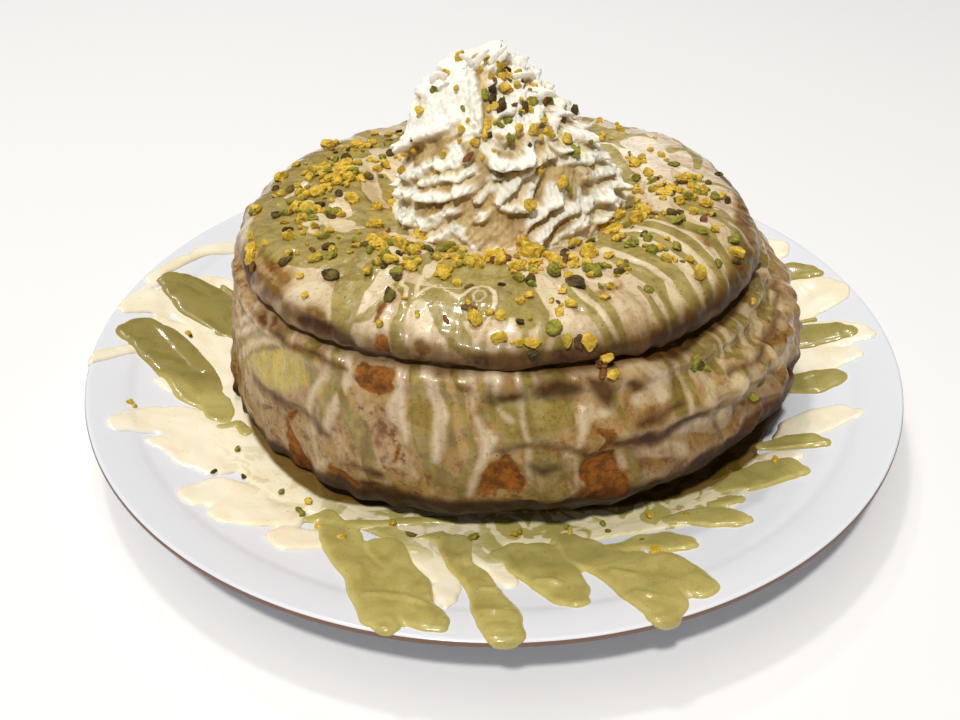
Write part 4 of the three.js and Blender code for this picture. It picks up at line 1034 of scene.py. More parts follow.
# Sauce edges wander a little as they run over the uneven dough.
slow_wander, quick_wander = lumps(31, 17), lumps(32, 6)
swirl_angle = 0.3 * slow_wander(ring_x, ring_y, ring_z) + 0.14 * quick_wander(ring_x, ring_y, ring_z)
swirl_run = run_at + 0.8 * slow_wander(ring_z, ring_x, ring_y) + 0.3 * quick_wander(ring_z, ring_x, ring_y)


def hidden_streaks():
    """Streaks like the front's for the back of the ring, from seeded draws."""
    draw = np.random.default_rng(5)
    made = []
    for middle in range(32, 148, 9):
        start = (middle - 5, 17.2, draw.uniform(4, 7))
        made.append(("green", start, (middle + 6, 16.9, draw.uniform(4, 7))))
        start = (middle, 17.9, draw.uniform(1, 3))
        made.append(("white", start, (middle + draw.uniform(3, 7), 17.3, draw.uniform(1, 3))))
    middle = 22.0
    kind = 0
    while middle < 160:
        half = draw.uniform(0.7, 2.6) if kind % 2 else draw.uniform(0.5, 1.8)
        lean = draw.uniform(-3, 3)
        top, low = draw.uniform(15.6, 17.2), draw.uniform(13.6, 14.6)
        colour = "green" if kind % 2 else "white"
        leant = middle + lean
        halfway = (middle + lean * 0.5, 15.2, half)
        made.append((colour, (middle, top, half), halfway, (leant, low, half * 0.8)))
        lower = (leant + draw.uniform(-2, 2), draw.uniform(4.8, 7.4), half * 0.7)
        made.append((colour, (leant, 11.6, half), (leant, 9, half), lower))
        middle += 1.9 * half + draw.uniform(0.4, 1.6)
        kind += 1
    for middle in (38, 71, 104, 139):
        half = draw.uniform(3, 5)
        made.append(("bare", (middle, 6.1, half * 0.6), (middle + 1, 5.5, half), (middle, 4.8, half)))
    return made


# Of these layers the one poured last covers the others, but white lies over green. Thin glaze and
# the dark strokes only darken what lies there; the dark strokes are painted shade in folds.
LAYERS = ("green", "white", "bare", "bright")
laid = {kind: np.full(way.shape, -3.0) for kind in (*LAYERS, "thin", "dark")}
ring_place = (
    turn_at + swirl_angle,
    np.radians(1) * span_at,
    swirl_run,
    lambda station: np.interp(station, finely, run),
)
for kind, *stops in hidden_streaks() + STREAKS:
    depth = streak_depth(stops, *ring_place)
    for other in LAYERS:
        if kind in LAYERS and other != kind and (kind, other) != ("white", "green"):
            laid[other] = np.minimum(laid[other], -depth)
    laid[kind] = np.maximum(laid[kind], depth)
laid = {kind: np.clip(depth, -3, 3) for kind, depth in laid.items()}
belly_side = held((12 - way) / 1.5)


# Where the foot bulges out: how far, its angle and half width, its station and half height, and the
# power that rounds it.
BULGES = [(1.9, -86, 5, 5.8, 1.3, 0.5), (1.3, -65, 8, 5.6, 1.1, 0.6)]
# How far the crown is drawn in, and how much the belly is roughened, round which angle and how wide.
NARROWED = [(1.9, -187, 62), (1.3, 2, 50)]
ROUGHENED = [(1, -25, 90), (0.5, -165, 50)]
SET_BACK = 0.7


def ring_relief():
    """How far the glazed surface stands off the plain ring, in millimetres."""
    glazed = held(-laid["bare"] / 0.7 + 0.5)
    here = (ring_x, ring_y, ring_z)
    dough = 0.6 * lumps(41, 36)(*here) + 0.32 * lumps(42, 13)(*here) + 0.14 * lumps(45, 4.6)(*here)
    poured_on = 0.18 * held(laid["green"] + 0.4) + 0.2 * np.clip(laid["white"] + 0.4, 0, 0.9)
    runs = 0.3 * lumps(43, 6.5)(round_x, round_y, run_at * 0.1) * held((15.6 - way) / 1.5)
    bulge = sum(
        out * held(1 - ((turn_at - turn) / half) ** 2 - ((way - station) / rise) ** 2) ** power
        for out, turn, half, station, rise, power in BULGES
    )
    wrinkles = 0.35 * np.sin(np.radians(turn_at) * 150 + way * 3) * swell(angle, -168, 50) * belly_side
    drips = 0.5 * lumps(44, 8)(round_x, round_y, 0 * way) * held(1 - np.abs(way - 4.5) / 1.3)
    dents = 0.35 * held(laid["dark"] / 2.4 + 0.5) + 0.25 * held(laid["thin"] / 2 + 0.5)
    rough = 0.75 * lumps(46, 6)(*here) * swells(angle, ROUGHENED) * belly_side
    narrow = swells(angle, NARROWED) * held(1 - ((way - 15.3) / 2.2) ** 2)
    raised = 0.5 * glazed + dough + poured_on * glazed + runs + bulge + wrinkles + drips
    return raised - dents + rough - narrow - SET_BACK


def ring_values():
    """How far the glaze is thinned, which lets the crust show, and the painted shade: darker under the
    crown's lip, in the crease, at the foot, low on the belly, on the right and along the dark strokes.
    """
    # Painted shade: darker under the crown's lip, in the crease, at the foot, low on the belly, on the
    # right side and along the dark strokes, where shade falls.
    low = held((7.4 - way) / 3)
    lip = held(1 - np.abs(way - 13.5) / 1.4)
    mouth = 0.5 * held((way - 18.6) / 0.6) * swell(angle, 170, 120)
    left = swell(angle, -168, 70) * (0.25 * (way < 12) + 0.2 * held((15.8 - way) / 0.8))
    thin = 0.55 * low + 0.75 * lip + mouth + left + held(laid["thin"] / 3 + 0.5)
    crease = held((15.3 - way) / 1.1) * held((way - 11) / 0.5)
    crease = crease * (0.75 + swells(angle, [(0.25, -65, 120), (-0.3, -150, 90)]))
    foot = held((5.05 - way) / 0.4)
    right = 0.12 * swell(angle, -10, 110) * belly_side
    pale = swell(angle, -32, 100) + 0.8 * swell(angle, -164, 52) * held((way - 8) / 1.5)
    crease = crease + foot + 0.3 * low + right + held(laid["dark"] / 2.6 + 0.5)
    return {
        "thin": np.clip(thin, 0, 1.4),
        "crease": held(crease),
        # Painted shade over the right front below the crown.
        "tan": 0.9 * swell(angle, -35, 130) * held((15.6 - way) / 0.8),
        "shaded": (1 - belly_side) * (1 - swell(angle, 45, 130)),
        "foot": foot,
        "pale": pale * belly_side,
        "lower": held((15.9 - way) / 0.9),
        "round_x": round_x,
        "round_y": round_y,
        "along": run_at,
        "belly_side": belly_side,
        **{kind: laid[kind] for kind in LAYERS},
    }


def crust_colour():
    """Fried crust, browner in spots and lighter in its crumb."""
    mottle = grain(2.4, 4, 0.65)
    crumb = grain(0.5, 3, 0.7)
    colour = blend(paint(182, 116, 36), paint(122, 74, 16), mottle.over(0.35, 0.65))
    return blend(colour, paint(200, 148, 72), 0.45 * crumb.over(0.56, 0.74))


def glazed_dough():
    belly, lower, pale, crease = (kept(name) for name in ("belly_side", "lower", "pale", "crease"))
    place = Tint.node("CombineXYZ", {}, {0: kept("round_x"), 1: kept("round_y"), 2: kept("along") * 0.16})
    ripple = grain(2.6, 4, 0.6, at=place)
    veil = grain(8, 3, 0.55, at=place)
    fine = grain(1.5, 3, 0.6)
    mottle = grain(4.5, 4, 0.65)
    blur = 0.16 + 0.4 * lower - 0.3 * pale
    edge = (0.5 * (fine - 0.5) + 0.8 * (ripple - 0.5)) * (1 + belly)
    cover = (0.6 * veil + 0.5 * ripple).over(0.3, 0.75)
    green = (kept("green") + edge).over(0 - blur, blur) * (0.78 + 0.2 * cover)
    bright = (kept("bright") + 3 * (veil - 0.5) + edge).over(-1.8, 1.4)
    soft = 0.16 + 0.8 * lower - 0.5 * pale
    white = (kept("white") + 0.7 * edge + 2 * (veil - 0.5) * belly).over(0 - soft, soft)
    white = white * (0.95 - 0.3 * cover * belly)
    bare = (kept("bare") + 1.4 * (fine - 0.5) + 2 * (mottle - 0.5) + 1.4 * (veil - 0.5)).over(-0.55, 0.55)
    uneven = 1.1 * (mottle - 0.5) + 1.3 * (ripple - 0.5) + (veil - 0.5)
    thin = kept("thin") + 0.25 * belly + uneven
    crust = crust_colour()
    glaze = blend(paint(236, 218, 198), paint(204, 176, 138), thin.over(-0.1, 0.45))
    glaze = blend(glaze, paint(156, 118, 60), thin.over(0.4, 1))
    thin = thin.over(0.2, 1.1)
    browned = blend(paint(202, 170, 108), paint(162, 130, 62), (0.6 * veil + 0.5 * ripple).over(0.42, 0.7))
    browned = blend(browned, paint(152, 98, 44), 0.75 * (mottle + 0.35 * fine).over(0.62, 0.84))
    patchy = (0.7 * grain(11, 3, 0.6, distortion=0.8) + 0.3 * ripple).over(0.47, 0.6)
    browned = blend(browned, paint(228, 204, 168), 0.8 * patchy)
    glaze = blend(glaze, browned, 0.85 * belly - 0.7 * pale)
    spots = (mottle + 0.3 * fine).over(0.66, 0.78) * thin
    glaze = blend(glaze, paint(126, 78, 28), 0.9 * spots)
    sauce = pistachio_colour(paint(190, 177, 104), paint(152, 136, 68), 7)
    sauce = blend(sauce, paint(146, 126, 66), (0.2 + 0.4 * belly) * ripple.over(0.42, 0.7))
    sauce = blend(sauce, paint(126, 106, 52), 0.75 * thin)
    dulled = (0.5 * ripple + 0.5 * mottle).over(0.4, 0.62)
    lit_sauce = blend(paint(230, 212, 110), paint(196, 180, 84), dulled)
    milk = blend(paint(250, 240, 224), paint(234, 216, 190), (0.6 * ripple + 0.5 * veil).over(0.45, 0.75))
    milk = blend(milk, paint(192, 160, 116), 0.6 * thin)
    colour = blend(glaze, crust, bare)
    colour = blend(colour, lit_sauce, bright)
    colour = blend(colour, sauce, green)
    colour = blend(colour, milk, white)
    # Painted shade: the right front, the crown, the belly, the crease with its dark strokes and the foot
    # are stained darker where shade falls; the fine mottle between is the glaze's own.
    colour = stained(colour, paint(218, 206, 168), kept("tan"))
    colour = stained(colour, paint(232, 226, 204), kept("shaded"))
    colour = stained(colour, paint(232, 222, 204), belly - 0.7 * pale)
    colour = stained(colour, paint(190, 168, 128), 0.6 * grain(1.1, 3, 0.65).over(0.5, 0.75))
    colour = stained(colour, paint(132, 106, 58), crease * (1 - 0.8 * bare))
    colour = stained(colour, paint(168, 142, 92), kept("foot") * (1 - 0.5 * bare))
    colour = blend(colour, paint(60, 40, 22), 0.8 * specks(4.2, 0.04, 0.07) * (1 - bare))
    height = 0.5 * ripple + 0.4 * fine + bare * (0.9 * grain(0.5, 3, 0.7) - 0.4)
    return {
        "Base Color": colour,
        "Roughness": 0.16 + 0.14 * grain(5) + 0.4 * bare + 0.12 * thin + 0.25 * crease,
        "IOR": 1.36,
        "Coat Weight": 0.4 * (1 - bare) * (1 - crease),
        "Coat Roughness": 0.05,
        "Subsurface Weight": 0.08,
        "Subsurface Scale": 1.5 * MM,
        "Normal": relief(height, 0.3),
    }


ring_grid = dough_grid + ring_relief()[..., None] * dough_out
ring_points = ring_grid.reshape(-1, 3)
ring_faces = weave(len(ways), len(angles), True, True).tolist()
dough_finish = material("glazed_dough", glazed_dough)
piece("ring_doughnut", ring_points, ring_faces, dough_finish, "glazed_dough", "doughnut", ring_values())

# The whipped cream
# Soft whipped cream squeezed from a star nozzle into the ring's hole and heaped over it. Each turn
# left a ridge with a lip over the fold below, and the nozzle tore ribbons off at the top.
CREAM_LEVELS = np.array([
    (8.3, 33, 3.5, 1.5),
    (50, 33, 3.5, 1.5),
    (64, 36.5, 3.5, 0.8),
    (71, 33.5, 3.8, 0),
    (78, 30, 2.6, 0),
    (86, 27, 1.6, 0.5),
    (94, 23.5, -0.4, 1),
    (101, 18.5, -2.2, 1.5),
    (107, 12.5, -2.6, 2),
    (111, 6.2, -0.6, 2.4),
    (113.4, 1.2, 1.8, 2.8),
])
# Each ridge's stops are an angle in degrees, a height and how far it stands out. Its lip is on the
# right of the way it runs, as seen from outside.
RIDGES = [
    [(-192, 80, 0), (-180, 82.5, 2), (-168, 85.2, 3.2), (-146, 90.4, 3.2), (-134, 93.6, 2.6),
     (-122, 96.5, 1)],
    [(-190, 76, 0), (-172, 77.5, 2), (-155, 80, 2), (-148, 81, 2), (-137, 83.9, 2), (-131, 86.6, 2.8),
     (-124, 86.4, 2.2), (-117, 88, 2.2), (-109, 89.6, 2), (-103, 90.4, 0)],
    [(-143, 80, 0), (-140, 80.9, 1.6), (-129, 83, 1.8), (-119, 84.1, 2), (-108, 86.3, 1.8),
     (-101, 87.4, 0)],
    [(-192, 71, 0), (-175, 72.5, 2), (-158, 74.6, 2.4), (-145, 75.8, 2.6), (-135, 77.3, 2.6),
     (-126, 78.6, 2.6), (-116, 79.6, 2), (-111, 80, 0)],
    [(-119, 81.6, 0), (-114, 82.1, 2.6), (-106, 82, 3), (-98, 83.4, 2.4), (-90, 83.6, 1.6), (-86, 84, 0)],
    [(-108, 79, 0), (-105, 79.3, 1.6), (-97, 80.2, 1.8), (-92, 81, 0)],
    [(-160, 68.5, 0), (-146, 69.2, 1.8), (-135, 70.2, 2.2), (-127, 71.8, 2.2), (-122, 74.6, 2.6),
     (-114, 76.6, 2.6), (-110, 76.6, 0)],
    [(-150, 64.6, 0), (-138, 66, 2), (-125, 69, 2), (-115, 71.2, 2), (-108, 70, 2), (-104, 68.4, 0)],
    [(-112, 74.2, 0), (-106, 74.6, 1.2), (-99, 75.2, 1.4), (-94, 76, 0)],
    [(-106, 69, 0), (-102, 70.2, 1.6), (-97, 70.4, 1.8), (-91, 72, 0)],
    [(-97, 76.6, 0), (-93, 78.2, 2.6), (-86, 81.5, 2.8), (-75, 84.8, 2.8), (-62, 87.3, 2.8),
     (-52, 88.4, 2), (-46, 88.6, 0)],
    [(-102, 85.4, 0), (-98, 86.8, 2.8), (-85, 88.6, 3.2), (-70, 91, 3), (-56, 92, 2.4), (-47, 92.4, 0)],
    [(-97, 78.4, 0), (-93, 76.8, 2), (-86, 75.9, 3.2), (-80, 77, 3.2), (-74, 79.6, 3), (-67, 82.4, 2),
     (-62, 83.6, 0)],
    [(-84, 68.6, 0), (-81, 70.6, 2.2), (-75, 73.6, 2.8), (-64, 76.8, 2.6), (-51, 78.2, 1.8),
     (-45, 78.6, 0)],
    [(-78, 66.8, 0), (-74, 68.4, 2.2), (-66, 70.9, 2.6), (-57, 72.6, 2.6), (-46, 73.6, 1.8), (-41, 74, 0)],
    [(-68, 66.4, 0), (-60, 68, 1.8), (-50, 69, 2), (-38, 69, 2), (-22, 68, 2), (0, 67, 0)],
    [(-49, 89.6, 0), (-43, 90, 2), (-35, 89.6, 2.4), (-23, 88, 2.6), (-6, 87, 2.6), (16, 87.6, 2),
     (30, 88, 0)],
    [(-44, 85.8, 0), (-38, 86, 1.6), (-30, 84.6, 2), (-16, 83, 2.2), (2, 82.4, 2.2), (20, 83, 1.6),
     (32, 83.6, 0)],
    [(-38, 81.6, 0), (-33, 81.4, 2), (-24, 79.2, 2.6), (-12, 77.4, 2.6), (4, 77, 2.4), (22, 78, 0)],
    [(-46, 70.6, 0), (-40, 72.4, 2), (-32, 73.6, 2.6), (-22, 73.8, 2.6), (-8, 72.6, 2.6), (8, 72, 2.2),
     (26, 72.6, 0)],
    [(-62, 99.6, 0), (-54, 101.8, 2), (-44, 103.6, 2.6), (-28, 104.6, 3), (-6, 104.6, 3), (18, 103.6, 2),
     (34, 103, 0)],
    [(-58, 95.2, 0), (-48, 96.8, 2), (-30, 98.8, 2.8), (-8, 99, 3.2), (16, 98, 2.2), (34, 97.6, 0)],
    [(-52, 92.6, 0), (-42, 93.4, 2), (-26, 94, 2.4), (-6, 94, 2.8), (16, 93.2, 2), (32, 93, 0)],
    [(-106, 92.6, 0), (-101, 95, 1.6), (-97, 99.6, 2.2), (-96, 103.4, 2.2), (-101, 106.8, 2.2),
     (-118, 109.6, 1.8), (-134, 110.4, 0)],
    [(-96, 93.6, 0), (-88, 94.8, 1.4), (-76, 95.6, 1.6), (-64, 95.6, 0)],
    [(-92, 99, 0), (-84, 99.8, 1.2), (-72, 100, 1.4), (-64, 99.4, 0)],
    [(-94, 104.6, 0), (-80, 105.6, 1.4), (-62, 105.8, 1.4), (-50, 105.4, 0)],
    [(-110, 109.4, 0), (-80, 109.6, 1.6), (-40, 109.4, 1.8), (0, 109, 1.6), (40, 108.6, 0)],
    [(-200, 97, 0), (-184, 99.4, 1), (-168, 101, 1.2), (-152, 101.6, 0.6), (-146, 102, 0)],
    [(-214, 104, 0), (-200, 105.6, 1.6), (-184, 106.8, 1.8), (-168, 107.4, 1.2), (-156, 107.6, 0)],
]
LIP_REACH = 0.55
FOLD_DEPTH = 1.3
# Patches of painted warm shade between the ridges: an angle in degrees, a height and half a width.
PAINTED_SHADE_PATCHES = [
    [(-157, 86.2, 2), (-139, 89, 2.4), (-126, 90.8, 1.8)],
    [(-148, 85.4, 1.4), (-132, 87.9, 1.2)],
    [(-110, 91.6, 1.6), (-102, 88.7, 2), (-100, 85.1, 1.8)],
    [(-124, 80.8, 1.4), (-116, 82.4, 1.8), (-102, 83.9, 1.6)],
    [(-140, 74.8, 1.8), (-115, 78.4, 1.8), (-96, 78.6, 1.8)],
    [(-137, 73.3, 1.6), (-130, 73.5, 1.6)],
    [(-113, 75.2, 2.2), (-98, 74.5, 2.6), (-80, 75.1, 2)],
    [(-107, 72.2, 2), (-92, 71.4, 2.6), (-83, 72.7, 2.2)],
    [(-92, 69.5, 1.6), (-87, 69.7, 1.6)],
    [(-88, 84.8, 1.2), (-71, 87.6, 1.4), (-56, 90.7, 1.6)],
    [(-90, 91.5, 1.2), (-78, 91.4, 1.4), (-66, 93.1, 1)],
    [(-68, 80.6, 2), (-58, 84.1, 2.4), (-44, 83.7, 2.4), (-33, 79.9, 2)],
    [(-44, 80.1, 1.8), (-45, 76.7, 1.2)],
    [(-83, 70.6, 1.4), (-74, 72.4, 1.4), (-60, 74.9, 1.2)],
    [(-71, 68.5, 1), (-51, 71.1, 1)],
    [(-83, 86.4, 1.2), (-92, 83.1, 1.2)],
    [(-145, 80.7, 1.2), (-135, 80.5, 1.2)],
    [(-116, 109.7, 0.7), (-93, 106.3, 0.8), (-88, 103.1, 0.9), (-96, 98.8, 0.9), (-102, 96.2, 0.8)],
    [(-145, 110.6, 0.9), (-140, 111.1, 0.9)],
    [(-37, 103.6, 1.2), (14, 102.6, 1.2)],
    [(-16, 98.8, 1.4), (-40, 96.9, 1.4), (-43, 94.4, 1.2)],
    [(-49, 90, 1.2), (-51, 86.3, 1.2)],
    [(-31, 83.7, 1.4), (-36, 77.5, 1.4)],
    [(-88, 95.5, 1.4), (-67, 92.5, 1.4), (-48, 94.4, 1.2)],
    [(-136, 90.9, 1.2), (-116, 94.2, 1)],
]


def smooth_table(table, steps):
    """Points of a smooth curve through a table's rows, evenly along its first two columns."""
    spots = np.linspace(0, len(table) - 1, 3000)
    index = np.minimum(spots.astype(int), len(table) - 2)
    share = (spots - index)[:, None]
    a, b, c, d = (table[np.clip(index + offset, 0, len(table) - 1)] for offset in (-1, 0, 1, 2))
    curve = b + 0.5 * share * (c - a + share * (2 * a - 5 * b + 4 * c - d + share * (3 * (b - c) + d - a)))
    length = np.concatenate([[0], np.cumsum(np.hypot(np.diff(curve[:, 0]), np.diff(curve[:, 1])))])
    return np.stack([np.interp(steps(length[-1]), length, column) for column in curve.T], -1), length[-1]


HIDDEN_DEPTH = 44
CREAM_STEP = 0.53
CREAM_TOP = 114.6


def cream_steps(end):
    """A few steps up the hidden part of the heap, then fine ones to its tip."""
    return np.concatenate([[0, 20, 38], np.arange(HIDDEN_DEPTH, end - 0.2, CREAM_STEP), [end]])


cream_rows, cream_length = smooth_table(CREAM_LEVELS, cream_steps)
# The heap is finest where the ridges show, as the ring is.
cream_front, cream_back = np.arange(-205, 25, 0.46), np.arange(25, 155, 1.3)
cream_angles = np.radians(np.concatenate([cream_front, cream_back]))
level, cream_angle = np.meshgrid(np.arange(len(cream_rows)), cream_angles, indexing="ij")
cream_height, cream_radius, cream_x, cream_y = np.moveaxis(cream_rows[level], -1, 0)
lump = 1 + 0.045 * (np.sin(2 * cream_angle + 0.4) + np.sin(3 * cream_angle + cream_height / 9))
# The heap is steeper on the diner's right.
shaved = swell(cream_angle, -2, 170) * np.interp(cream_height, [84, 94, 104, 111], [0, 2.6, 4.2, 4])
base_radius = np.maximum(cream_radius * lump - shaved, 0.8)
path_table, _ = smooth_table(CREAM_LEVELS, lambda end: np.linspace(0, end, 600))
path_lengths = np.linspace(0, cream_length, 600)


def path_to(height):
    """How far up the heap's side a height lies, measured along that side."""
    return np.interp(height, path_table[:, 0], path_lengths)


def ridge_stand(stops):
    """How far one ridge lifts the cream, and how deep in the folds under it each point lies; that
    depth also sets the painted shade under the lip.
    """
    stops = np.array(stops, float)
    middle = stops[:, 0].mean()
    turned = middle + (np.degrees(cream_angle) + ridge_sway - middle + 180) % 360 - 180
    across = np.radians(1) * np.maximum(cream_radius, 8)
    here = path_to(cream_height) + ridge_drift
    nearest = np.full(here.shape, 1e3)
    side, stand = np.zeros(here.shape), np.zeros(here.shape)
    for (a0, h0, s0), (a1, h1, s1) in zip(stops[:-1], stops[1:]):
        x0, x1 = (a0 - turned) * across, (a1 - turned) * across
        y0, y1 = path_to(h0) - here, path_to(h1) - here
        share, away = nearest_on_leg(x0, y0, x1, y1)
        closer = away < nearest
        nearest = np.where(closer, away, nearest)
        side = np.where(closer, np.sign(x0 * y1 - x1 * y0), side)
        stand = np.where(closer, s0 + (s1 - s0) * share, stand)
    uphill = np.exp(-((nearest / 2.6) ** 2))
    downhill = held(1 - nearest / 1.2)
    under = np.where(side > 0, 0, np.exp(-(((nearest - 1.8) / 1.9) ** 2)) * np.clip(stand / 2.2, 0, 1.2))
    return stand * np.where(side > 0, uphill, downhill**2 * (3 - 2 * downhill)), under


def back_ridges():
    """Ridges like the front's round the back of the heap, from seeded draws."""
    draw = np.random.default_rng(8)
    made = []
    for height in np.arange(65, 108, 4.6):
        start, end = draw.uniform(6, 30), draw.uniform(140, 172)
        middle = draw.uniform(60, 110)
        rise = draw.uniform(2, 5)
        near_start, near_end = (start + 14, height - rise * 0.6, 2.2), (end - 14, height + rise * 0.5, 2.2)
        first, last = (start, height - rise, 0), (end, height + rise * 0.7, 0)
        made.append([first, near_start, (middle, height, 2.6), near_end, last])
    return made


cream_place = (
    cream_x + base_radius * np.cos(cream_angle),
    cream_y + base_radius * np.sin(cream_angle),
    cream_height,
)
sway, drift, frill, crumple = lumps(51, 24), lumps(52, 11), lumps(53, 4.2), lumps(54, 1.6)
ridge_sway = 2.2 * sway(*cream_place)
ridge_drift = 0.8 * drift(*cream_place) + 0.32 * frill(*cream_place)
ridge = np.zeros(cream_height.shape)
# The fold under each lip is cut deeper and is also given painted shade.
fold = np.zeros(cream_height.shape)
for stops in RIDGES + back_ridges():
    lifts, below = ridge_stand(stops)
    covered = fold * held(1.3 - lifts / 1.6)
    fold = np.where(below > 0.1, np.maximum(fold * (lifts < 0.8), below), covered)
    ridge = np.maximum(ridge, lifts)
shown = held((cream_height - 60) / 6)
tip = np.clip((CREAM_LEVELS[-1, 0] - cream_height) / 3, 0.2, 1)
uneven = 1 + 0.2 * drift(cream_height, *cream_place[:2]) + 0.3 * frill(cream_height, *cream_place[:2])
ridge = ridge * uneven * np.clip(1 + 0.5 * lumps(55, 9)(*cream_place), 0.4, 1.35)
on_crest = held(ridge / 2)
torn = 0.38 * frill(*cream_place) + (0.22 + 0.36 * on_crest) * crumple(*cream_place)
out = shown * tip * (ridge - FOLD_DEPTH * (1 + 0.5 * fold) + torn)
down = shown * tip * LIP_REACH * np.maximum(ridge - 0.6, 0)


def cream_surface(radius, height):
    """Points at a radius and a height round the heap's leaning middle."""
    x = cream_x + radius * np.cos(cream_angle)
    return np.stack([x, cream_y + radius * np.sin(cream_angle), height], -1)


steepness = held(np.gradient(cream_rows[:, 0], path_to(cream_rows[:, 0])))[level]
lifted = cream_height + out * np.sqrt(1 - steepness**2) - down * steepness
widened = np.maximum(base_radius + out * steepness + down * np.sqrt(1 - steepness**2) * 0.5, 0.3)
cream_grid = cream_surface(widened, np.minimum(lifted, CREAM_TOP))


def hollows(stands, rounds):
    """How far each point lies below the mean of its neighbourhood, in millimetres."""
    mean = stands
    for _ in range(rounds):
        mean = (np.roll(mean, 2, 1) + np.roll(mean, -2, 1) + 2 * mean) / 4
        mean = (np.roll(mean, 1, 0) + np.roll(mean, -1, 0) + 2 * mean) / 4
    return mean - stands


cream_way = (
    np.degrees(cream_angle) + ridge_sway,
    np.radians(1) * np.maximum(cream_radius, 8),
    path_to(cream_height) + ridge_drift,
    path_to,
)
soaked = np.max([streak_depth(stops, *cream_way) for stops in PAINTED_SHADE_PATCHES], axis=0)
soaked = held(0.5 + soaked / 1.8) * np.clip(1.25 - ridge / 2.6, 0.1, 1)
# Painted shade: tan in the folds under the lips and in the hollows, golden patches between ridges, and tan
# towards the heap's foot inside the ring's hole.
heap_values = {
    "fold": held(fold),
    "soaked": soaked,
    "hollow": held(hollows(out, 6) / 0.9),
    "foot": held((70 - cream_height) / 6),
}


def whipped_cream():
    cloud = grain(5, 3) - 0.5
    fold = (kept("fold") + 0.8 * kept("hollow") + 0.5 * cloud).over(0.15, 1.1)
    soaked = (kept("soaked") + 0.5 * cloud + 0.3 * (grain(1.6, 2) - 0.5)).over(0.15, 0.85)
    # Painted shade: tan in folds and hollows, golden in the patches between the ridges, tan at the foot.
    colour = blend(paint(255, 250, 236), paint(220, 198, 146), 0.85 * fold)
    syrup = blend(paint(204, 174, 112), paint(162, 128, 64), grain(7).over(0.4, 0.65))
    colour = blend(colour, syrup, 0.9 * soaked)
    colour = blend(colour, paint(214, 196, 138), 0.35 * kept("foot"))
    foam = grain(0.8, 3, 0.7)
    return {
        "Base Color": colour,
        "Roughness": 0.5,
        "IOR": 1.4,
        "Subsurface Weight": 0.2,
        "Subsurface Scale": 1.6 * MM,
        "Normal": relief(0.5 * foam + 0.5 * grain(1.9, 3, 0.6), 0.45),
    }


RIBBON_STEPS = 16
RIBBON_SIDES = 12


def ribbon(stops, width, thickness):
    """A torn strip of cream along a few stops, tapered to its end."""
    stops = np.array(stops, float)
    spots = np.linspace(0, len(stops) - 1, RIBBON_STEPS)
    index = np.minimum(spots.astype(int), len(stops) - 2)
    share = (spots - index)[:, None]
    line = stops[index] + (stops[index + 1] - stops[index]) * share
    line = np.concatenate([line[:1], (line[:-2] + 2 * line[1:-1] + line[2:]) / 4, line[-1:]])
    ahead = np.gradient(line, axis=0)
    ahead /= np.linalg.norm(ahead, axis=1, keepdims=True)
    beside = np.cross(ahead, (0.3, 1, 0.2))
    beside /= np.linalg.norm(beside, axis=1, keepdims=True)
    through = np.cross(ahead, beside)
    reach = np.sqrt(np.clip(1 - (spots / spots[-1]) ** 3, 0.02, 1))[:, None, None]
    turn = np.linspace(0, 2 * np.pi, RIBBON_SIDES, endpoint=False)[None, :, None]
    rings = line[:, None] + reach * (
        width / 2 * np.cos(turn) * beside[:, None] + thickness / 2 * np.sin(turn) * through[:, None]
    )
    points = np.concatenate([rings.reshape(-1, 3), line[:1], line[-1:]])
    faces = weave(RIBBON_STEPS, RIBBON_SIDES, False, True).tolist()
    count = RIBBON_STEPS * RIBBON_SIDES
    last = count - RIBBON_SIDES
    for corner in range(RIBBON_SIDES):
        beside_it = (corner + 1) % RIBBON_SIDES
        faces += [[count, beside_it, corner], [count + 1, last + corner, last + beside_it]]
    return points, faces


# Each torn ribbon is its stops in x, y and height, its width and its thickness.
RIBBONS = [
    ([(-1.4, -5.4, 109.6), (0.4, -5.8, 112), (2, -5.4, 113.2), (3.4, -4.4, 114.2)], 1.7, 0.8),
    ([(1, -6, 110.4), (2.4, -6, 111.6), (3.4, -5.4, 112.4)], 1.6, 0.8),
    ([(-5.8, -6.4, 108.6), (-4.4, -6.8, 111.2), (-2.6, -6.2, 113), (-1.4, -5.4, 113)], 2.2, 1),
    ([(-6, -6.6, 109.6), (-7.8, -6.8, 111.6), (-9.8, -6.2, 112.2)], 2, 1),
    ([(-13.4, -8.4, 106.6), (-15.4, -8.8, 107.6), (-17, -8.6, 106.6), (-17.4, -8.2, 104.6)], 2.6, 1.4),
    ([(5, -8, 106.6), (7.6, -7.6, 107), (10.4, -6.4, 107), (11.4, -6, 105.2)], 2, 1),
    ([(12, -10, 101.6), (14, -9.6, 102.6), (16, -8.4, 102), (17, -8, 100.6)], 2.2, 1.1),
]
foot_edge = list(range(len(cream_angles)))
tip_edge = [(len(cream_rows) - 1) * len(cream_angles) + column for column in foot_edge]
heap_faces = weave(len(cream_rows), len(cream_angles), False, True).tolist() + [foot_edge[::-1], tip_edge]
heap_pieces = [(cream_grid.reshape(-1, 3), heap_faces)] + [ribbon(*strip) for strip in RIBBONS]


def gathered(pieces):
    """Several pieces' points and faces as one mesh's."""
    points, faces, count = [], [], 0
    for some_points, some_faces in pieces:
        points.append(some_points)
        faces += [[count + corner for corner in face] for face in some_faces]
        count += len(some_points)
    return np.concatenate(points), faces


cream_look = material("whipped_cream", whipped_cream)
heap = gathered(heap_pieces)
piece("whipped_cream_heap", *heap, cream_look, "whipped_cream", "whipped_cream", heap_values)

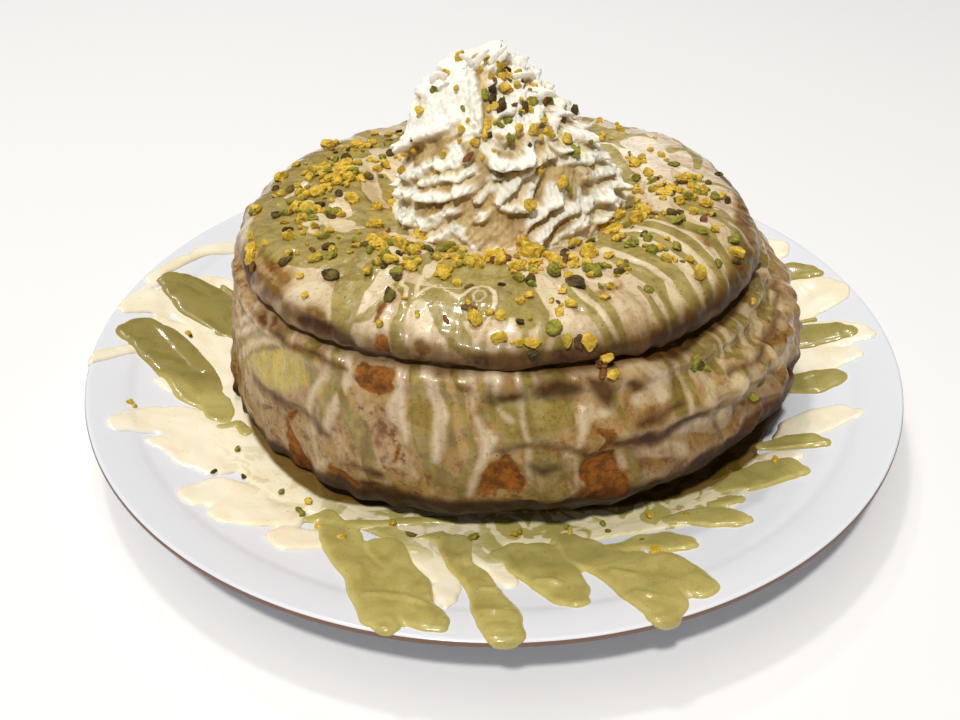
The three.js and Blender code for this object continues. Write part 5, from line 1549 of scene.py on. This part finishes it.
# The chopped pistachios
# Raw pistachios chopped by knife: yellow meal, greener pieces, some with their dark skins on. They
# lie where they were thrown, over the crown, on the front of the cream and a few on the plate.
PHI = (1 + math.sqrt(5)) / 2
CORNERS = [(-1, PHI, 0), (1, PHI, 0), (-1, -PHI, 0), (1, -PHI, 0), (0, -1, PHI), (0, 1, PHI),
           (0, -1, -PHI), (0, 1, -PHI), (PHI, 0, -1), (PHI, 0, 1), (-PHI, 0, -1), (-PHI, 0, 1)]
SIDES = [(0, 11, 5), (0, 5, 1), (0, 1, 7), (0, 7, 10), (0, 10, 11), (1, 5, 9), (5, 11, 4), (11, 10, 2),
         (10, 7, 6), (7, 1, 8), (3, 9, 4), (3, 4, 2), (3, 2, 6), (3, 6, 8), (3, 8, 9), (4, 9, 5),
         (2, 4, 11), (6, 2, 10), (8, 6, 7), (9, 8, 1)]


def ball(rounds):
    """A round mesh of triangles, each side of an icosahedron cut in four, rounds times."""
    points = [np.array(c, float) / math.sqrt(1 + PHI**2) for c in CORNERS]
    sides = list(SIDES)
    for _ in range(rounds):
        halves, cut = {}, []
        for a, b, c in sides:
            middles = []
            for one, other in ((a, b), (b, c), (c, a)):
                key = (min(one, other), max(one, other))
                if key not in halves:
                    halves[key] = len(points)
                    half = points[one] + points[other]
                    points.append(half / np.linalg.norm(half))
                middles.append(halves[key])
            ab, bc, ca = middles
            cut += [(a, ab, ca), (b, bc, ab), (c, ca, bc), (ab, bc, ca)]
        sides = cut
    return np.array(points), sides


crumb_points, crumb_sides = ball(2)
chopper = np.random.default_rng(17)


def crumb(place, upward, size, shape):
    """One chopped bit: a ball cut by a few planes, turned at random and lying on its place."""
    points = crumb_points.copy()
    for _ in range(chopper.integers(5, 8)):
        towards = chopper.normal(size=3)
        towards /= np.linalg.norm(towards)
        limit = chopper.uniform(0.5, 0.8)
        beyond = np.maximum(points @ towards - limit, 0)
        points = points - beyond[:, None] * towards
    points = points * (1 + 0.07 * chopper.normal(size=(len(points), 1)))
    points = points * np.array(shape) * size / 2
    turn = chopper.uniform(0, 2 * np.pi)
    tip_over = chopper.normal(size=2) * 0.3
    side = np.cross(upward, (math.cos(turn), math.sin(turn), 0.01))
    side /= np.linalg.norm(side)
    upward = upward + tip_over[0] * side + tip_over[1] * np.cross(upward, side)
    upward /= np.linalg.norm(upward)
    side -= upward * (side @ upward)
    side /= np.linalg.norm(side)
    turned = points[:, :1] * side + points[:, 1:2] * np.cross(upward, side) + points[:, 2:] * upward
    return turned + place + upward * size * shape[2] * 0.28


def pick(angles_at, wanted):
    """The column whose angle is nearest to the wanted one in degrees."""
    turned = (np.radians(wanted) - angles_at + np.pi) % (2 * np.pi) - np.pi
    return int(np.abs(turned).argmin())


ring_out = outward(ring_grid)
cream_out = outward(cream_grid, closed=False)


def on_ring(degrees_at, station):
    """A place on the ring's skin, and the way out of it."""
    row, column = int(np.abs(ways - station).argmin()), pick(angles, degrees_at)
    return ring_grid[row, column], ring_out[row, column]


def on_cream(degrees_at, height):
    """A place on the heap's skin, and the way out of it."""
    row, column = int(np.abs(cream_rows[:, 0] - height).argmin()), pick(cream_angles, degrees_at)
    return cream_grid[row, column], cream_out[row, column]


def on_plate(x, y):
    """A place on the plate or on the cream sauce there, and the way up."""
    lies = float(plate_top(np.hypot(x, y))) + 0.9 * float(rounded(np.maximum(cream_depth(x, y), 0), 1.2, 2))
    return np.array([x, y, lies]), np.array([0, 0, 1.0])


# Landmark bits: where they lie, their size and their kind.
RING_BITS = [
    (-131, 16.02, 5, "dark"), (-115.4, 16.15, 3.8, "dark"), (-71.7, 16.78, 5, "dark"),
    (-83.3, 17.1, 3.2, "dark"), (-142.4, 16.65, 3.4, "dark"), (-135.4, 17.3, 3.4, "dark"),
    (-59, 16.8, 3.6, "dark"), (-80.4, 15.35, 4.6, "green"), (-167, 16.1, 3.6, "dark"),
    (-183, 16.25, 3.4, "brown"), (-75.6, 17.2, 3.2, "dark"), (-92.5, 17.85, 3.8, "brown"),
    (-99, 16.8, 2.2, "brown"), (-91, 16.85, 2.4, "dark"), (-101.6, 15.65, 1.8, "brown"),
    (-86.6, 16.3, 2.6, "yellow"), (-95.5, 15.7, 3.6, "yellow"), (-90.7, 15, 3.6, "yellow"),
    (-84.8, 14.95, 3.4, "yellow"), (-84.6, 14.5, 2.6, "dark"), (-78.6, 14.9, 3.2, "yellow"),
    (-74.4, 14.75, 4.4, "yellow"), (-76, 14.7, 3, "dark"), (-75.7, 16.05, 2.8, "yellow"),
    (-76, 16.55, 2.4, "yellow"), (-57, 15.95, 3, "green"), (-67.8, 16.1, 2.8, "yellow"),
    (-66, 17.15, 5, "green"), (-81, 18.3, 6.2, "yellow"), (-97.6, 18.3, 3.4, "yellow"),
    (-114, 15.2, 2.4, "yellow"), (-111.8, 16.1, 1.6, "yellow"), (-139.4, 16.2, 3.4, "yellow"),
    (-137.6, 16.5, 3, "green"), (-137.4, 15.6, 2.2, "yellow"), (-132, 15.1, 2, "yellow"),
    (-124.8, 17.1, 3.6, "green"), (-124.4, 16.45, 3.8, "yellow"), (-119, 17.95, 3, "dark"),
    (-153, 14.95, 4, "yellow"), (-151, 14.7, 3.4, "brown"), (-42.9, 15.75, 4.6, "yellow"),
    (-28, 15.3, 4, "yellow"), (-23.8, 15.6, 4.4, "green"), (-30, 15.1, 2.4, "dark"),
    (-21.6, 17.35, 3.4, "dark"), (4, 17, 3.4, "brown"), (-3, 16.3, 3.4, "green"),
    (-71, 13.5, 3.4, "yellow"), (-71.6, 12.8, 3.2, "brown"), (-70.8, 12.2, 3.2, "yellow"),
    (-71.2, 11.4, 3.2, "yellow"), (-70.4, 10.7, 2.8, "yellow"), (-71.8, 10.9, 2.6, "brown"),
    (-112.5, 17.7, 2.8, "yellow"), (-107, 17.8, 3, "yellow"), (-102.5, 16.9, 2.8, "yellow"),
    (-128.5, 17.7, 3.2, "yellow"), (-84.5, 16.5, 2.6, "yellow"), (-66.5, 17, 2.8, "yellow"),
    (-61, 17.8, 5, "yellow"), (-84, 18.9, 4, "yellow"), (-80, 18.6, 4.6, "yellow"),
    (-77, 18.3, 4, "yellow"), (-75, 18.1, 3.4, "yellow"), (-83.5, 16.9, 2.8, "green"),
    (-57, 16.8, 3, "green"), (-62, 17.2, 3.4, "green"), (-68, 18.2, 2.8, "dark"),
    (-31, 17.95, 5, "yellow"), (-18, 16.9, 3.4, "yellow"), (-13, 17.2, 3.6, "yellow"),
    (-2, 16.8, 3, "yellow"), (7, 17, 3.2, "yellow"), (-25, 16.2, 3, "yellow"),
    (-46.5, 16.45, 3, "yellow"), (-36, 15.6, 2.8, "green"), (-39, 16.7, 3, "green"),
    (-23, 17, 3.2, "green"), (-28, 16.4, 2.8, "green"), (16, 16.9, 3.4, "green"), (-46, 17.5, 4, "green"),
    (10, 18.2, 3.4, "green"), (12, 15.6, 2.6, "dark"), (-205, 17, 3.2, "dark"), (-191, 17.1, 3.6, "dark"),
    (-182, 16.3, 3, "dark"), (-175, 17.55, 3.2, "dark"), (-168, 17.05, 3, "dark"),
    (-156, 16.2, 3.4, "dark"), (-180, 19, 3.6, "yellow"), (-164, 18.4, 4, "yellow"),
    (-171, 17.8, 4.4, "yellow"), (-184, 17.4, 4, "yellow"), (-194, 16.6, 3.8, "yellow"),
    (-155, 15.1, 4, "yellow"), (-162, 17.4, 3.6, "green"), (-160, 16.8, 3.4, "green"),
    (-176, 17, 4.6, "yellow"), (-168, 16.6, 4, "yellow"), (-173, 16.4, 3.4, "green"),
    (-52.4, 9.7, 4, "green"), (-51.6, 9, 3, "dark"), (-50.6, 8.7, 2.4, "green"), (-42, 5.6, 2.6, "green"),
    (-28.7, 10.8, 1.8, "yellow"), (-20, 13.4, 2.6, "dark"),
]
PLATE_BITS = [
    (-111, -37, 2.2, "yellow"), (-109.6, -38.4, 1.8, "yellow"), (-80, -64, 1.8, "dark"),
    (-72, -64, 1.8, "dark"), (-54, -78, 2, "green"), (-104.5, 5, 2, "yellow"), (-103.4, 4, 1.8, "dark"),
    (-76, -52, 2.2, "green"), (-60, -70, 1.8, "green"), (-52, -74, 2.4, "yellow"), (-53, -79, 2, "green"),
    (-48, -84, 2, "yellow"), (-41, -88, 2.2, "yellow"), (-28, -82, 2.2, "yellow"),
    (-23, -86, 2.2, "brown"), (-6, -87, 2.6, "green"), (5, -86, 2.6, "yellow"), (6.5, -85, 1.8, "yellow"),
    (19, -83, 2, "green"), (20, -85, 2.2, "yellow"), (30, -85, 1.6, "green"), (29, -82, 1.6, "green"),
    (42, -79, 2.4, "yellow"), (38, -89, 2.4, "brown"), (41, -94, 2.8, "yellow"), (52, -80, 1.6, "yellow"),
    (81, -59, 2.4, "yellow"),
]
CREAM_BITS = [
    (-170, 109.7, 3.5, "yellow"), (-153, 106.8, 2.9, "yellow"), (-152, 103.4, 2.6, "green"),
    (-122, 104.6, 1.9, "yellow"), (-112, 101, 1.9, "green"), (-108, 109.4, 2.3, "yellow"),
    (-103, 110.9, 2.3, "yellow"), (-66, 109.6, 2.9, "yellow"), (-73, 108.5, 1.7, "green"),
    (-82, 107.8, 2, "yellow"), (-79, 107, 2, "brown"), (-81, 105.5, 2.9, "dark"),
    (-63, 107.2, 2.9, "yellow"), (-66, 105.5, 3.5, "yellow"), (-92, 104.3, 2.9, "green"),
    (-48, 106.6, 2.6, "yellow"), (-60, 104.5, 2.3, "yellow"), (-49, 104.4, 2, "yellow"),
    (-36, 107.5, 2.3, "dark"), (-39, 100.4, 3.2, "green"), (-75, 101.3, 4.4, "dark"),
    (-74, 98.5, 2.6, "green"), (-82, 97.3, 2.6, "green"), (-64, 101.4, 1.7, "brown"),
    (-54, 100.4, 3.2, "dark"), (-47, 98.7, 2, "yellow"), (-92, 97.8, 2.9, "yellow"),
    (-85, 98.9, 1.7, "yellow"), (-94, 95.7, 3.2, "yellow"), (-80, 94.3, 2.9, "green"),
    (-71, 96.1, 3.5, "yellow"), (-59, 95.1, 3.5, "yellow"), (-66, 92.9, 1.7, "dark"),
    (-49, 93.3, 3.5, "yellow"), (-36, 91, 3.2, "yellow"), (-112, 96.4, 2.6, "yellow"),
    (-108, 98.3, 1.7, "yellow"), (-115, 93.3, 1.7, "yellow"), (-104, 93.4, 2.9, "yellow"),
    (-126, 89.6, 2.3, "yellow"), (-129, 85, 2.6, "yellow"), (-90, 87.3, 3.2, "dark"),
    (-92, 91.5, 1.4, "yellow"), (-99, 89.5, 1.4, "yellow"), (-76, 78.5, 3.8, "yellow"),
    (-63, 85, 2.6, "yellow"), (-49, 79.3, 2.3, "green"), (-25, 82.1, 2.6, "yellow"),
    (-54, 102.1, 1.7, "yellow"), (-52, 108.2, 1.7, "yellow"), (-23, 101.5, 1.4, "yellow"),
    (-148, 91.7, 1.4, "brown"), (-153, 97.3, 3.5, "yellow"), (-84, 69.5, 3.6, "yellow"),
]
# Patches that were strewn: middle angle, width, middle station, spread, how many bits, their size.
RING_PATCHES = [
    (-176, 84, 17, 0.8, 150, 2.5), (-120, 50, 17.5, 0.6, 60, 2.1), (-80, 70, 17.9, 0.6, 90, 2.3),
    (-40, 70, 17.5, 0.8, 60, 2.3), (0, 60, 16.9, 0.8, 50, 2.3), (75, 160, 17.3, 1, 120, 2.2),
    (160, 60, 17, 0.8, 60, 2.3), (-85, 120, 16, 0.6, 22, 1.7),
]
CLUMPED = 0.5
CREAM_PATCHES = [(-64, 60, 101, 5, 16), (-90, 160, 84, 12, 8), (60, 150, 95, 9, 26)]
KINDS = ("yellow", "green", "dark", "brown")
KIND_SHARES = (0.62, 0.22, 0.08, 0.08)
SHAPES = {
    "yellow": (1.15, 0.95, 0.8),
    "green": (1.25, 0.9, 0.7),
    "dark": (1.3, 1, 0.55),
    "brown": (1.6, 0.75, 0.5),
}


def a_size(kind, usual=2.1):
    """A size as a knife leaves them: most near the usual one, a few larger."""
    size = float(np.clip(chopper.lognormal(math.log(usual), 0.32), 1.1, 4.6))
    return size * (0.85 if kind == "brown" else 1)


bits = {kind: [] for kind in KINDS}


def drop(kind, place, upward, size):
    """Lay one bit of a kind on a place."""
    shape = np.array(SHAPES[kind]) * chopper.uniform(0.85, 1.15, 3)
    bits[kind].append((crumb(place, upward, size, shape), crumb_sides))


for turn, station, size, kind in RING_BITS:
    drop(kind, *on_ring(turn, station), size)
for turn, height, size, kind in CREAM_BITS:
    drop(kind, *on_cream(turn, height), size)
for x, y, size, kind in PLATE_BITS:
    drop(kind, *on_plate(x, y), size)
for middle, width, station, spread, count, usual in RING_PATCHES:
    turn, where = middle, station
    for _ in range(count):
        kind = KINDS[chopper.choice(4, p=KIND_SHARES)]
        if chopper.random() < CLUMPED:
            turn += 1.7 * chopper.normal()
            where += 0.13 * chopper.normal()
        else:
            turn = middle + width / 2 * chopper.normal() * 0.55
            where = station + spread * chopper.normal() * 0.8
        drop(kind, *on_ring(turn, np.clip(where, 14.6, 19.2)), a_size(kind, usual))
for middle, width, height, spread, count in CREAM_PATCHES:
    for _ in range(count):
        kind = KINDS[chopper.choice(4, p=KIND_SHARES)]
        turn = middle + width / 2 * chopper.normal() * 0.6
        where = np.clip(height + spread * chopper.normal() * 0.7, 68, 110)
        drop(kind, *on_cream(turn, where), a_size(kind))

BIT_PAINTS = {
    "yellow": (paint(232, 196, 78), paint(186, 150, 36)),
    "green": (paint(156, 154, 56), paint(112, 106, 30)),
    "dark": (paint(92, 72, 30), paint(50, 36, 14)),
    "brown": (paint(132, 84, 46), paint(94, 58, 32)),
}
for kind, (light, deep) in BIT_PAINTS.items():

    def chopped_nut(light=light, deep=deep):
        colour = blend(light, deep, (0.6 * grain(2.2) + 0.4 * grain(0.6, 2)).over(0.38, 0.62))
        colour = blend(colour, paint(134, 124, 40), 0.45 * grain(5).over(0.5, 0.66))
        return {
            "Base Color": colour,
            "Roughness": 0.8,
            "IOR": 1.4,
            "Normal": relief(grain(0.5, 2), 0.12),
        }

    finish = material("pistachio_" + kind, chopped_nut)
    nuts = gathered(bits[kind])
    piece("pistachio_bits_" + kind, *nuts, finish, "chopped_pistachio", "doughnut", smooth=False)

# The table and the lights
# A pale table with a small warm lamp high in front of the dish, a weaker one behind it, a wide soft
# panel overhead, and a small bright window behind whose glints show on the wet sauce.
table_mesh = bpy.data.meshes.new("table")
half_table = 4000 * MM
table_corners = [(x * half_table, y * half_table, 0) for x, y in ((-1, -1), (1, -1), (1, 1), (-1, 1))]
table_mesh.from_pydata(table_corners, [], [[0, 1, 2, 3]])


def table_top():
    return {"Base Color": paint(240, 240, 242), "Roughness": 0.7}


table_mesh.materials.append(material("table_top", table_top))
table = bpy.data.objects.new("table", table_mesh)
bpy.context.scene.collection.objects.link(table)


def lamp(name, place, width, power, colour):
    """A round lamp that faces the dish."""
    light = bpy.data.lights.new(name, "AREA")
    light.shape = "DISK"
    light.size = width * MM
    light.energy = power
    light.color = colour
    made = bpy.data.objects.new(name, light)
    made.location = Vector(place) * MM
    made.rotation_euler = (-made.location).to_track_quat("-Z", "Y").to_euler()
    bpy.context.scene.collection.objects.link(made)


lamp("key_lamp", (-300, -1180, 2260), width=200, power=40, colour=(1, 0.97, 0.91))
lamp("back_lamp", (-480, 800, 2460), width=240, power=13, colour=(1, 0.97, 0.92))
lamp("ceiling_panel", (-360, 60, 2460), width=2100, power=18, colour=(1, 0.98, 0.95))
lamp("window", (-260, 1000, 1440), width=110, power=2.4, colour=(1, 1, 1))
world = bpy.data.worlds.new("ceiling")
world.use_nodes = True
world.node_tree.nodes["Background"].inputs["Color"].default_value = (1, 1, 1, 1)
world.node_tree.nodes["Background"].inputs["Strength"].default_value = 0.12
bpy.context.scene.world = world
bpy.context.scene.view_settings.view_transform = "Standard"
